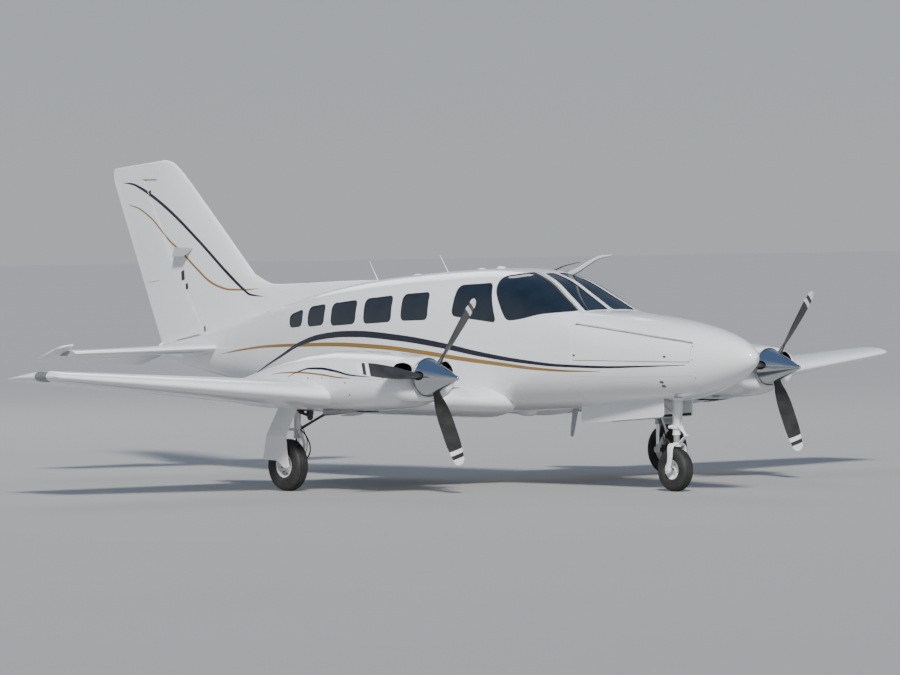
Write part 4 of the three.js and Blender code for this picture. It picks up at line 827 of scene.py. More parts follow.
def make_fuselage():
    x = np.concatenate([np.linspace(-4640, 3200, 190), np.linspace(3253, NOSE_SEAM_X, 44)])
    skin = bare(hull_shell(x, SKIN_PROUD, -SKIN_DEEP), white_paint)
    for form in window_cutters(0):
        cut(skin, form, black_rubber_and_shade)
    # The doorway's cut faces are dark grey: painted shade in the gap round the door.
    cut(skin, prism(doorway_outline(), 200, 900), dark_seam_and_shade)
    for form in mirrored_prisms(baggage_outline(BAGGAGE["gap"], BAGGAGE["head_gap"])):
        cut(skin, form, white_paint)
    cut(skin, block((WELL["rear"], -WELL["half"], 500), (WELL["front"], WELL["half"], 1090)))
    cut(skin, prism(RUDDER_FOOT, -400, 400))
    dress(skin, "fuselage_skin", "airframe", 30,
          ("side_wall_left", "side_wall_left_rear", "side_wall_right", "roof", "tail_cone"))

    front = NOSE_SEAM_X + 2.0
    x = front + (5537 - front) * np.sin(np.linspace(0, math.pi / 2, 60))
    piece("nose_cap", ring_body(hull_rings(x, SKIN_PROUD - 1.0)), white_paint)
    collar = hull_rings(np.array([NOSE_SEAM_X - 6.0, NOSE_SEAM_X + 8.0]), SKIN_PROUD - 2.4)
    piece("nose_cap_seam", ring_body(collar), dark_seam_and_shade)

    share = np.linspace(0, math.pi / 2, 12)
    last = hull_rings(np.array([-4640.0]), SKIN_PROUD)[0]
    middle = last.mean(axis=0)
    rings = [
        middle + (last - middle) * math.cos(a) * (0, 1, 1) - (26 * math.sin(a), 0, 0)
        for a in share[:-1]
    ]
    deck_x = np.linspace(-3704, -4640, 60)
    deck_z = np.interp(deck_x, [-4800, -3704], [1367, 1531])
    wide = np.linspace(-1, 1, 9)
    level = np.stack([np.broadcast_to(deck_x[:, None], (60, 9)), (skin_y(deck_x, deck_z) + 1)[:, None] * wide,
                      np.broadcast_to(deck_z[:, None], (60, 9))], axis=-1)
    deck = np.concatenate([level, level[:, ::-1] - (0, 0, 6)], axis=1)
    piece("tail_end", together(ring_body(np.stack(rings)), ring_body(deck)),
          white_paint)


def make_lining():
    """The cabin's trim: an inner hull with the windows and the doorway cut in it, and a bulkhead behind the
    cabin."""
    x = np.linspace(-1600, 3236, 120)
    lining = bare(hull_shell(x, -44.0, -50.0), trim_cream)
    for form in window_cutters(7):
        cut(lining, form)
    cut(lining, prism(doorway_outline(6.0), 200, 900))
    cut(lining, block((-2000, -900, 500), (3400, 900, 1001)))
    dress(lining, "cabin_lining")
    ends = []
    for low, high in ((-1612, -1603), (3236, 3244)):
        ends.append(ring_body(hull_rings(np.array([low, high], float), -45.0)))
    piece("cabin_bulkheads", together(*ends), trim_cream)


FRAME_SECTION = [(0.0, 4.0), (6.0, 44.0), (24.0, 44.0), (24.0, 4.5)]


def on_screen(x, z, depth, side):
    """As on_side, but beside the windshield no higher than the middle of the post, where the skin turns
    level."""
    limit = skin_z(x, post_y(x) + POST_HALF / 3)
    return on_side(x, np.where(x > POST_START, np.minimum(z, limit), z), depth, side)


def make_glazing():
    place = {1: lambda x, z, d: on_screen(x, z, d, 1), -1: lambda x, z, d: on_screen(x, z, d, -1)}
    frames, seals = [], []
    for side, name in ((1, "left"), (-1, "right")):
        panes = []
        for k, outline in enumerate([*cabin_outlines, screen]):
            if side == 1 and k == DOOR_WINDOW:
                continue
            panes.append(side_panel(shrunk(outline, 1.0), 3.0, 8.0, side))
            frames.append(frame_ring(outline, FRAME_SECTION, place[side]))
            seals.append(
                frame_ring(outline, [(-9.0, 2.2), (-8.0, -1.6), (0.5, -3.4), (0.5, 2.2)], place[side])
            )
        nodes = ("side_glass_left", "side_glass_left_rear") if side == 1 else ("side_glass_right",)
        piece("cabin_panes_" + name, together(*panes), cabin_glass, "airframe", stands_for=nodes)
    plan_pane = top_panel(shrunk(pane_in_plan, 1.0), 2.0, 8.0)
    piece("windshield_panes", together(plan_pane, mirrored(plan_pane)), screen_glass, "airframe",
          stands_for=("windshield_glass",))
    plan_frame = frame_ring(pane_in_plan, FRAME_SECTION, on_top)
    plan_seal = frame_ring(pane_in_plan, [(-11.0, 2.0), (-10.0, -1.6), (0.5, -3.2), (0.5, 2.0)], on_top)
    frames += [plan_frame, mirrored(plan_frame)]
    seals += [plan_seal, mirrored(plan_seal)]
    piece("window_frames", together(*frames), trim_cream)
    piece("window_seals", together(*seals), black_rubber_and_shade, "airframe")


def make_doors():
    split, gap = DOOR["split"], DOOR["split_gap"]
    outline = cabin_outlines[DOOR_WINDOW]
    upper = bare(side_panel(door_outline(split + gap, DOOR["head"]), 0.0, 47.0, rings=16), white_paint)
    cut(upper, prism(outline, 200, 900), trim_cream)
    dress(upper, "door_upper_half", "door_upper", stands_for=("cabin_door_upper",))
    piece("door_pane", side_panel(shrunk(outline, 1.0), 3.0, 8.0), cabin_glass, "door_upper",
          stands_for=("cabin_door_glass",))
    seal = frame_ring(outline, [(-9.0, 2.2), (-8.0, -1.6), (0.5, -3.4), (0.5, 2.2)], on_side)
    piece("door_pane_seal", seal, black_rubber_and_shade, "door_upper")
    lower = side_panel(door_outline(DOOR["sill"], split), 0.0, 47.0, rings=16)
    piece("door_lower_half", lower, white_paint, "door_lower", stands_for=("cabin_door_lower",))

    jamb = frame_ring(doorway_outline(), [(2.0, 4.0), (15.0, 44.0), (28.0, 44.0), (16.0, 4.0)], on_side)
    piece("door_jamb", jamb, trim_cream)

    # Two folding treads lie on the inside of the lower half.
    treads = [block((-640, 470, 1150), (-240, 560, 1172), 6), block((-640, 500, 1360), (-240, 590, 1382), 6)]
    piece("door_treads", together(*treads), dark_metal, "door_lower")
    handle_x = np.linspace(-470, -330, 30)
    grip = on_side(handle_x, np.full(30, 1478.0), -14 - 10 * np.sin(np.linspace(0, math.pi, 30)))
    posts = [rod(on_side(at, 1478.0, 0.0), on_side(at, 1478.0, -20.0), 6.0) for at in (-470.0, -330.0)]
    piece("door_handle", together(tube(grip, 6.0), *posts), polished_metal, "door_lower")

    panel = side_panel(baggage_outline(), 0.0, 25.0, rings=18)
    both_sides("nose_hatch", panel, white_paint, PAIR("baggage_door"), stands_for=("baggage_door",))
    latches = []
    for at in (3331.0, 4567.0):
        plate = rounded([[at - 17, 1414], [at + 17, 1414], [at + 17, 1434], [at - 17, 1434]], 6, 40)
        latches.append(side_panel(plate, -1.6, 2.0, rings=4))
    both_sides("nose_hatch_latches", together(*latches), dark_metal, PAIR("baggage_door"))
    # A rain gutter lies behind the gap over the hatch, deeper than the panel reaches.
    b = BAGGAGE
    top = [[b["rear"], b["rear_head"]], [b["front"], b["front_head"]]]
    gutter = rounded(
        [[x, z - 8] for x, z in top] + [[x, z + b["head_gap"] + 8] for x, z in top[::-1]], 3, 120,
    )
    both_sides("nose_hatch_gutter", side_panel(gutter, 27.0, 30.0, rings=8), white_paint)


make_fuselage()
make_lining()
make_glazing()
make_doors()


# Wings

def foil(share, side, thickness, camber=0.0):
    """Height of a wing section over its chord: the usual four-digit thickness on a parabolic camber line."""
    shape = 0.2969 * np.sqrt(share) - 0.126 * share - 0.3516 * share**2 + 0.2843 * share**3
    shape = shape - 0.1015 * share**4
    return 4 * camber * share * (1 - share) + side * 5 * thickness * shape


def foil_loop(count=40):
    """Chord shares and sides round a section, from the tail over the top to the nose, and back underneath."""
    turn = np.linspace(0, math.pi, count)
    share = np.concatenate([0.5 * (1 + np.cos(turn)), 0.5 * (1 - np.cos(turn[1:]))])
    return share, np.concatenate([np.ones(count), -np.ones(count - 1)])


# Distance from the centre plane, nose and tail stations, nose height, thickness over chord.
WING_ROWS = np.array([
    [450, 2210, 30, 900, 0.165], [1500, 2165, 80, 950, 0.165], [2390, 2120, 125, 996, 0.165],
    [2900, 2013, 155, 1039, 0.16], [4350, 1684, 240, 1162, 0.14], [5600, 1402, 318, 1268, 0.12],
    [5775, 1352, 338, 1283, 0.11], [5835, 1285, 385, 1287, 0.06],
])
WING_TILT = math.tan(math.radians(2.75))
WING_CAMBER = 0.018
TIP_Y, TIP_ROUND = 5835, 30


def wing_at(y):
    """Nose, tail, nose height and thickness at a distance from the centre plane: straight inboard of the
    engine, smooth outboard."""
    y = np.asarray(y, float)
    straight = np.stack([np.interp(y, WING_ROWS[:, 0], WING_ROWS[:, k]) for k in range(1, 5)], axis=-1)
    both = np.where((y > WING_ROWS[3, 0])[..., None], through(WING_ROWS[3:], y), straight)
    return np.moveaxis(both, -1, 0)


def wing_z(x, y, side):
    """Height of the wing's upper or lower skin: the section's height on a chord that slopes down aft."""
    nose, tail, nose_z, thick = wing_at(y)
    share = np.clip((nose - x) / (nose - tail), 0, 1)
    return nose_z - (nose - x) * WING_TILT + (nose - tail) * foil(share, side, thick, WING_CAMBER)


def wing_form(lift=0.0):
    """Section loops from root to tip. The tip is rounded by a quarter ellipse over its last 30 mm."""
    start = TIP_Y - TIP_ROUND
    rounding = start + TIP_ROUND * np.sin(np.linspace(0, math.pi / 2, 10))
    y = np.concatenate([np.linspace(450, 5560, 90), np.linspace(5575, start - 5, 14), rounding])
    end = np.sqrt(np.clip(1 - (np.maximum(y - start, 0) / TIP_ROUND) ** 2, 0.0004, 1))[:, None]
    nose, tail, nose_z, thick = (v[:, None] for v in wing_at(y))
    share, side = foil_loop()
    chord = nose - tail
    z = nose_z - chord * share * WING_TILT + lift + chord * foil(share, side * end, thick, WING_CAMBER)
    return ring_body(np.stack([nose - chord * share, np.broadcast_to(y[:, None], z.shape), z], axis=-1))


def behind(y0, x0, y1, x1):
    """All that lies behind a line across the wing."""
    return prism([[-500, y0], [x0, y0], [x1, y1], [-500, y1]], 400, 1800, "z")


def between_skins(x, y):
    """The point halfway between the wing's skins."""
    return [x, y, float(wing_z(x, y, 1) + wing_z(x, y, -1)) / 2]


def stretched(line, grow):
    """The ends of a line moved apart along it."""
    a, b = (np.asarray(p, float) for p in line)
    step = (b - a) / np.linalg.norm(b - a)
    return a - step * grow, b + step * grow


AILERON = {"inner": 4180, "outer": 5560, "inner_x": 600, "outer_x": 592, "inner_r": 61, "outer_r": 41}
FLAPS = {"inner": (645, 1890, 455, 480), "outer": (2945, 4140, 530, 562)}
FLAP_THICK = 18
LENS = ((900, 5760, 1100), (1100, 5900, 1400))


def make_wings():
    a = AILERON
    wing = bare(wing_form(), white_paint)
    hinge = [between_skins(a["inner_x"], a["inner"]), between_skins(a["outer_x"], a["outer"])]
    rear = behind(a["inner"], a["inner_x"], a["outer"], a["outer_x"])
    aileron = common(
        bare(wing_form(), white_paint),
        join(bare(rear, white_paint), bare(rod(*hinge, a["inner_r"], 48, a["outer_r"]), white_paint)),
    )
    # The wing's cut faces ahead of the aileron are mid grey: painted shade in the gap.
    cove = bare(behind(a["inner"] - 9, a["inner_x"], a["outer"] + 9, a["outer_x"]), soft_seam_and_gap_shade)
    join(cove, bare(rod(*stretched(hinge, 9), a["inner_r"] + 6, 48, a["outer_r"] + 6), soft_seam_and_gap_shade))
    cut(wing, cove)
    for name, (start, end, start_x, end_x) in FLAPS.items():
        room = bare(behind(start - 6, start_x + 6, end + 6, end_x + 6), white_paint)
        cut(wing, cut(room, wing_form(FLAP_THICK + 6)))
        r = FLAP_THICK / 2
        line = [(x - r, y, float(wing_z(x - r, y, -1)) + r) for x, y in ((start_x, start), (end_x, end))]
        flap = cut(bare(wing_form(), white_paint), wing_form(FLAP_THICK))
        common(flap, behind(start, line[0][0], end, line[1][0]))
        join(flap, bare(rod(*line, r, 24), white_paint))
        dress_both(flap, "flap_skin_" + name, PAIR("flap_" + name), stands_for=("flap_" + name,))
    cut(wing, ring_body(hull_rings(np.linspace(-600, 2600, 60), -2.0)))
    # The cut faces round each tip lens are dark grey: painted shade in the recess behind the glass.
    cut(wing, block(*LENS), dark_seam_and_shade)
    lens = common(bare(wing_form(), lamp_glass), block(LENS[0] + np.array((2, 2, 0)), LENS[1]))
    dress_both(wing, "wing_skin", stands_for=("wing",))
    dress_both(aileron, "aileron_skin", PAIR("aileron"), stands_for=("aileron",))
    dress_both(lens, "tip_lens", "airframe")


# Nacelles

# Station, half width, underside, widest height, top, and how square the section is.
NACELLE_ROWS = np.array([
    [-430, 60, 985, 1002, 1020, 2.0], [-150, 210, 915, 1010, 1100, 2.2], [300, 340, 866, 1080, 1212, 2.4],
    [950, 435, 852, 1150, 1362, 2.6], [1500, 470, 852, 1170, 1466, 2.7], [1900, 478, 856, 1180, 1490, 2.8],
    [2300, 478, 868, 1190, 1486, 2.8], [2700, 468, 902, 1200, 1470, 2.8], [2960, 440, 975, 1215, 1446, 2.7],
])
ENGINE_Y, HUB_Z = 2390, 1231
BOWL_X, BOWL_DEEP = 2960, 88
INTAKE = {"offset": 286, "rise": 76, "half": 118, "high": 86}


def bowl_inset(x):
    """The nacelle's front edge is rounded: sections ahead of the bowl's start shrink as a quarter circle
    does."""
    share = np.clip((np.asarray(x, float) - BOWL_X) / BOWL_DEEP, 0, 1)
    return BOWL_DEEP * (1 - np.sqrt(1 - share**2))


def nacelle_section(x):
    """Superellipse values at a station, drawn in by the rounding of the front edge."""
    half, low, widest, high, power = np.moveaxis(through(NACELLE_ROWS, np.minimum(x, BOWL_X)), -1, 0)
    inset = bowl_inset(x)
    return np.stack([half - inset, low + inset, widest, high - inset, power, power])


def nacelle_y(x, z):
    """Half width of the nacelle at a station and a height."""
    return width_at(nacelle_section(np.asarray(x, float)), z)


def on_nacelle(x, z, depth=0.0, side=1):
    """A point of the port nacelle. Side 1 is its outboard face."""
    return on_side(x, z, depth, side, nacelle_y) + (0, ENGINE_Y, 0)


def bowl_x(y, z):
    """The station where a line from ahead meets the rounded front, found by halving."""
    low, high = np.full(np.shape(y), float(BOWL_X)), np.full(np.shape(y), float(BOWL_X + BOWL_DEEP))
    for _ in range(30):
        middle = (low + high) / 2
        half, belly, widest, crown, power, _ = nacelle_section(middle)
        rise = np.where(z > widest, crown - widest, widest - belly)
        inside = (np.abs(y) / half) ** power + (np.abs(z - widest) / rise) ** power < 1
        low, high = np.where(inside, middle, low), np.where(inside, high, middle)
    return low


def intake_outline(side, grow=0.0, count=72):
    """An ellipse beside the hub."""
    turn = whole_turn(count)
    y = side * INTAKE["offset"] + (INTAKE["half"] + grow) * np.cos(turn)
    return y, HUB_Z + INTAKE["rise"] + (INTAKE["high"] + grow) * np.sin(turn)


def make_nacelles():
    x = np.concatenate(
        [np.linspace(-430, 2950, 110), BOWL_X + BOWL_DEEP * np.sin(np.linspace(0, math.pi / 2, 14))]
    )
    rings = hull_rings(x, 0.0, 128, nacelle_section) + (0, ENGINE_Y, 0)
    cowl = bare(ring_body(rings), white_paint)
    # The cowl is hollowed behind its front. Its inner faces, the intakes' walls and the ring round the
    # spinner are near black: painted shade inside the cowl.
    bay = hull_rings(np.linspace(2070, 3020, 30), -26.0, 96, nacelle_section) + (0, ENGINE_Y, 0)
    cut(cowl, ring_body(bay), opening_shade)
    lips = []
    for side in (1, -1):
        y, z = intake_outline(side)
        cut(cowl, moved(prism(np.column_stack([y, z]), 2900, 3100, "x"), (0, ENGINE_Y, 0)), opening_shade)
        loop = np.column_stack([bowl_x(y, z) - 1.5, y + ENGINE_Y, z])
        turn = whole_turn(12)[None, :, None]
        out = np.column_stack([np.zeros(len(y)), y - side * INTAKE["offset"], z - HUB_Z - INTAKE["rise"]])
        out /= np.linalg.norm(out, axis=1, keepdims=True)
        lip = loop[:, None] + 7 * (np.cos(turn) * out[:, None] + np.sin(turn) * np.array((1.0, 0, 0)))
        lips.append(grid_form(lip, wrap=True, ring=True))
    cut(cowl, rod((2950, ENGINE_Y, HUB_Z), (3100, ENGINE_Y, HUB_Z), 120, 64), opening_shade)
    dress_both(cowl, "nacelle_skin", stands_for=("nacelle",))
    both_sides("intake_lips", together(*lips), white_paint)

    flap_x = np.linspace(2210, 1795, 20)
    wide = np.linspace(-130, 130, 14)
    bow = 8 * (1 - (wide / 130) ** 2)
    drop = np.interp(flap_x, [1795, 2210], [806, 888])
    top = np.stack(
        [
            np.broadcast_to(flap_x[:, None], (20, 14)), np.broadcast_to(wide + ENGINE_Y, (20, 14)),
            drop[:, None] - bow + 8,
        ],
        axis=-1,
    )
    plate = np.concatenate([top, top[:, ::-1] - (0, 0, 7)], axis=1)
    # A near-black plate round the cowl flap's opening: painted shade in the outlet.
    outlet = moved(
        prism(rounded([[1800, -115], [2150, -115], [2150, 115], [1800, 115]], 30, 60), 850, 862, "z"),
        (0, ENGINE_Y, 0),
    )
    both_sides("cowl_flap", ring_body(plate), white_paint)
    both_sides("cowl_outlet_shade", outlet, opening_shade)

    path = curve_through(
        [
            (2330, ENGINE_Y + 250, 925), (2150, ENGINE_Y + 250, 893), (1900, ENGINE_Y + 250, 862),
            (1690, ENGINE_Y + 250, 845),
        ],
        24,
    )
    pipe = bare(tube(path, 38, 40), bare_steel)
    # The bore takes near black: painted shade down the pipe.
    cut(pipe, tube(path + (-30, 0, -3), 34, 40), opening_shade)
    dress_both(pipe, "exhaust_pipe", "airframe")

    # A strake on the inboard side: thick where it meets the cowl, thin at its outer edge. Its grey is painted
    # shade, as the strake lies in shadow below the cowl's widest line.
    share = np.linspace(0, 1, 12)[:, None]
    root = np.array([(2700, -380, 1088), (2985, -380, 1088), (2985, -380, 1126), (2700, -380, 1126)], float)
    tip = np.array([(2760, -556, 1104), (2940, -556, 1104), (2940, -556, 1110), (2760, -556, 1110)], float)
    strake = ring_body(root + share[..., None] * (tip - root) + (0, ENGINE_Y, 0))
    both_sides("nacelle_strake", strake, grey_and_painted_shade)

    # Six cooling cylinders stand out from a crankcase, three to a side.
    parts = [block((2080, ENGINE_Y - 110, 1080), (2880, ENGINE_Y + 110, 1330), 30)]
    fins = [(0, 0), (0, 100)]
    for k in range(13):
        at = 104 + 15 * k
        fins += [(52, at), (74, at + 1), (74, at + 4), (52, at + 5)]
    fins += [(62, 305), (62, 340), (0, 340)]
    barrel = lathe(fins, (0, 0, 0), "y", 40)
    for at in (2230, 2480, 2730):
        for side in (1, -1):
            parts.append(moved((barrel[0] * (1, side, 1), barrel[1]), (at + 30 * side, ENGINE_Y, 1210)))
    both_sides(
        "engine_parts", together(*parts), engine_grey, "airframe", stands_for=("engine_block",),
    )


# Propellers

# Distance from the axis, chord, thickness and pitch of each blade section.
BLADE_ROWS = np.array([
    [90, 78, 66, 60], [200, 84, 52, 52], [300, 122, 34, 44], [480, 156, 22, 34], [700, 160, 14, 27],
    [940, 120, 8, 20], [1000, 58, 4, 19],
])
BLADE_PHASE, BLADE_X, SPINNER_BASE = 53, 3143, 3073
SPINNER_ROWS = np.array([[0, 202], [80, 178], [170, 146], [290, 102], [430, 46], [520, 0]])


def blade_form(phase):
    """Blade sections along the radius: a round root that turns into a flat teardrop, twisted by its pitch,
    with a half-ellipse tip."""
    angle = math.radians(phase)
    out = np.array([0, math.cos(angle), math.sin(angle)])
    ahead = np.array([1.0, 0, 0])
    moving = np.cross(ahead, out)
    r = np.concatenate([np.linspace(90, 930, 60), 930 + 70 * np.sin(np.linspace(0, math.pi / 2, 14))[1:]])
    chord, thick, pitch = np.moveaxis(through(BLADE_ROWS, r), -1, 0)
    tip = np.clip((r - 930) / 70, 0, 1)
    chord = np.where(r > 930, 123 * np.sqrt(np.clip(1 - tip**2 * 0.985, 0, 1)), chord)
    pitch = np.radians(pitch)[:, None]
    chord_way = moving * np.cos(pitch) + ahead * np.sin(pitch)
    thick_way = ahead * np.cos(pitch) - moving * np.sin(pitch)
    turn = whole_turn(40)
    along = 0.5 * np.cos(turn)
    round_root = np.clip((300 - r) / 120, 0, 1)[:, None]
    flat = 0.47 * np.sin(turn) * (0.72 + 0.28 * np.cos(turn))
    across = (flat * (1 - round_root) + 0.5 * np.sin(turn) * round_root)
    points = out * r[:, None, None] + chord_way[:, None] * (
        along * chord[:, None]
    )[..., None] + thick_way[:, None] * (across * thick[:, None])[..., None]
    return ring_body(points)


def make_propellers():
    h = 520 * np.sin(np.linspace(0, math.pi / 2, 60))
    shape = through(SPINNER_ROWS, h)[:, 0]
    blunt = np.clip((520 - h) / 40, 0, 1)
    shape = np.where(h > 480, 30 * np.sqrt(blunt), shape)
    shape[-1] = 0.0
    profile = [(0, 2), (196, 2), (201, 6)] + [(r, s) for r, s in zip(shape[1:], h[1:])]
    spinner = bare(lathe(profile, (0, 0, 0), "x", 128), polished_metal)
    band = lathe([(203.4, 6), (203.6, 24), (201, 26), (199, 26), (199, 4)], (0, 0, 0), "x", 128)
    # Three slots take the blades. Their walls are near black: painted shade inside the spinner.
    for k in range(3):
        angle = math.radians(BLADE_PHASE + 120 * k)
        out = np.array([0, math.cos(angle), math.sin(angle)])
        side = np.cross((1.0, 0, 0), out)
        turn = whole_turn(48)[:, None]
        loop = (BLADE_X - SPINNER_BASE, 0, 0) + 66 * np.cos(turn) * np.array(
            (1.0, 0, 0)
        ) + 47 * np.sin(turn) * side
        cut(spinner, ring_body(np.stack([loop + out * 120, loop + out * 260])), opening_shade)
    hub = [
        rod((-190, 0, 0), (0, 0, 0), 48, 40),
        lathe([(0, -5), (110, -5), (112, 4), (0, 4)], (0, 0, 0), "x", 64),
    ]
    blades = [blade_form(BLADE_PHASE + 120 * k) for k in range(3)]
    for side, name, body in ((1, "left", "propeller_port"), (-1, "right", "propeller_starboard")):
        y = side * ENGINE_Y
        twin = spinner.copy()
        twin.data = spinner.data.copy()
        twin.data.transform(Matrix.Translation((SPINNER_BASE / MM, y / MM, HUB_Z / MM)))
        bpy.context.scene.collection.objects.link(twin)
        dress(twin, "spinner_" + name, body, 40, ("propeller_" + name,))
        piece("spinner_band_" + name, moved(band, (SPINNER_BASE, y, HUB_Z)), bare_steel, body)
        piece("hub_" + name, moved(together(*hub), (BLADE_X - 60, y, HUB_Z)), dark_metal, body)
        finish = blade_finish("blade_black_" + name, (0, y / MM, HUB_Z / MM))
        piece("blades_" + name, moved(together(*blades), (BLADE_X, y, HUB_Z)), finish, body, 50)
    bpy.data.objects.remove(spinner)


# Tail

TAILPLANE_ROWS = np.array([
    [0, -3170, -4450, 1404, 0.1], [250, -3222, -4440, 1400, 0.1], [1985, -3640, -4240, 1366, 0.1],
    [2100, -3680, -4225, 1364, 0.09], [2150, -3760, -4195, 1363, 0.05],
])
HINGE_X, HINGE_Z, HINGE_INNER = -3947, 1362, 505
HORN_INNER = 1990
ELEVATOR_DROOP = 18


def tailplane_form():
    """Symmetrical sections from the centre plane to a rounded tip. The chord leans to pass through the
    hinge."""
    y = np.concatenate(
        [
            np.linspace(0, 1980, 60), np.linspace(1990, 2128, 12),
            2130 + 20 * np.sin(np.linspace(0, math.pi / 2, 9))[1:],
        ]
    )
    rows = np.stack([np.interp(y, TAILPLANE_ROWS[:, 0], TAILPLANE_ROWS[:, k]) for k in range(1, 5)], axis=-1)
    rows = np.where((y > 1985)[:, None], through(TAILPLANE_ROWS[1:], y), rows)
    nose, tail, z, thick = (rows[:, k, None] for k in range(4))
    end = np.sqrt(np.clip(1 - (np.maximum(y - 2130, 0) / 20) ** 2, 0.001, 1))[:, None]
    share, side = foil_loop()
    chord = nose - tail
    lean = (HINGE_Z - z) * chord * share / (nose - HINGE_X)
    points = [
        nose - chord * share, np.broadcast_to(y[:, None], (len(y), len(share))),
        z + lean + chord * foil(share, side * end, thick),
    ]
    return ring_body(np.stack(points, axis=-1))


def make_tailplane():
    inner, outer = (HINGE_X, HINGE_INNER, HINGE_Z), (HINGE_X, HORN_INNER, HINGE_Z)
    elevator_room = bare(block((-4600, HINGE_INNER, 1000), (HINGE_X, 2300, 1700)), white_paint)
    join(elevator_room, bare(block((-4600, HORN_INNER, 1000), (-3000, 2300, 1700)), white_paint))
    join(elevator_room, bare(rod(inner, outer, 49, 48, 31), white_paint))
    elevator = common(bare(tailplane_form(), white_paint), elevator_room)
    # The tailplane's cut faces at the elevator's gap are mid grey: painted shade in the gap.
    room = bare(block((-4600, -10, 1000), (HINGE_X, 2300, 1700)), soft_seam_and_gap_shade)
    join(room, bare(block((-4600, HORN_INNER - 8, 1000), (-3000, 2300, 1700)), soft_seam_and_gap_shade))
    join(room, bare(rod((HINGE_X, HINGE_INNER - 10, HINGE_Z), outer, 55, 48, 37), soft_seam_and_gap_shade))
    tailplane = cut(bare(tailplane_form(), white_paint), room)
    cut(tailplane, ring_body(hull_rings(np.linspace(-4640, -3000, 40), -2.0)))
    dress_both(tailplane, "tailplane_skin", stands_for=("tailplane",))
    droop = Matrix.Rotation(math.radians(-ELEVATOR_DROOP), 4, "Y")
    pivot = Matrix.Translation((HINGE_X / MM, 0, HINGE_Z / MM))
    elevator.data.transform(pivot @ droop @ pivot.inverted())
    dress_both(elevator, "elevator_skin", "elevator_body")
    tube_form = rod((HINGE_X, -HINGE_INNER - 20, HINGE_Z), (HINGE_X, HINGE_INNER + 20, HINGE_Z), 17, 32)
    piece("elevator_tube", tube_form, gear_paint, "elevator_body", stands_for=("elevator",))


FIN_HALF = np.array([[1300, 92], [2100, 76], [2802, 54], [3300, 37], [3620, 30]])
FIN_OUTLINE = [
    [-2100, 1300], [-2800, 2150], [-3537, 2802], [-3880, 3098], [-4090, 3282], [-4270, 3425], [-4380, 3492],
    [-4480, 3522], [-4570, 3530], [-5530, 3438], [-5545, 3425], [-5545, 3300], [-4590, 1300],
]
# The fillet ahead of the fin: station, half width and top.
FILLET_ROWS = np.array([
    [-3300, 70, 2420], [-2900, 72, 2230], [-2527, 72, 2122], [-2077, 66, 2132], [-1247, 52, 2166],
    [-700, 30, 2180],
    [-297, 10, 2191],
])
RUDDER = {
    "low": (-3777, 1530), "high": (-4967, 3310), "low_r": 66, "high_r": 33, "horn": 3300, "horn_x": -4677,
}


def fin_nose(z):
    """Station of the fin's front edge, a straight line."""
    return -3537 - 1.13 * (z - 2802)


def fin_tail(z):
    """Station of the rudder's rear edge, a straight line."""
    return -5535.4 + 0.441 * (3434 - z)


def fin_y(x, z):
    """Half thickness of the fin and rudder: a symmetrical section at every level."""
    share = np.clip((fin_nose(z) - x) / (fin_nose(z) - fin_tail(z)), 0, 1)
    return np.interp(z, FIN_HALF[:, 0], FIN_HALF[:, 1]) * 10 * foil(share, 1, 0.2)


def fin_form():
    """The whole vertical tail: rings from its middle to its outline, thinned to a round edge over the last 18
    mm."""
    outline = even_outline(rounded(FIN_OUTLINE, 60, 700), 360)
    middle = np.array([-3980.0, 2350.0])
    step = np.roll(outline, -1, axis=0) - np.roll(outline, 1, axis=0)
    normal = np.stack([step[:, 1], -step[:, 0]], axis=-1) / np.linalg.norm(step, axis=1, keepdims=True)
    far = np.abs(np.sum(normal * (outline - middle), axis=1))
    left = np.array(
        [
            1.0, 0.85, 0.7, 0.56, 0.43, 0.31, 0.21, 0.13, 0.08, 0.05, 0.03, 0.02, 0.013, 0.009, 0.005, 0.002,
            0.0005,
        ]
    )
    flat = outline + left[:, None, None] * (middle - outline)
    depth = np.clip(left[:, None] * far / 18, 0, 1)
    half = fin_y(flat[..., 0], flat[..., 1]) * np.sqrt(1 - (1 - depth) ** 2)
    layers = [np.stack([flat[..., 0], side * half, flat[..., 1]], axis=-1) for side in (1, -1)]
    return grid_form(np.concatenate([layers[0], layers[1][::-1]]), wrap=True)


def rudder_room(grow):
    """All that lies behind the rudder's hinge line and above its horn's lower edge."""
    r = RUDDER
    top = r["horn"] - 1.4 * grow
    outline = [
        [r["low"][0], r["low"][1] - 2 * grow], r["low"], [r["high"][0], top], [r["horn_x"] + grow, top],
        [r["horn_x"] + grow, 3700], [-5800, 3700], [-5800, 1250],
    ]
    return prism(outline, -300, 300)


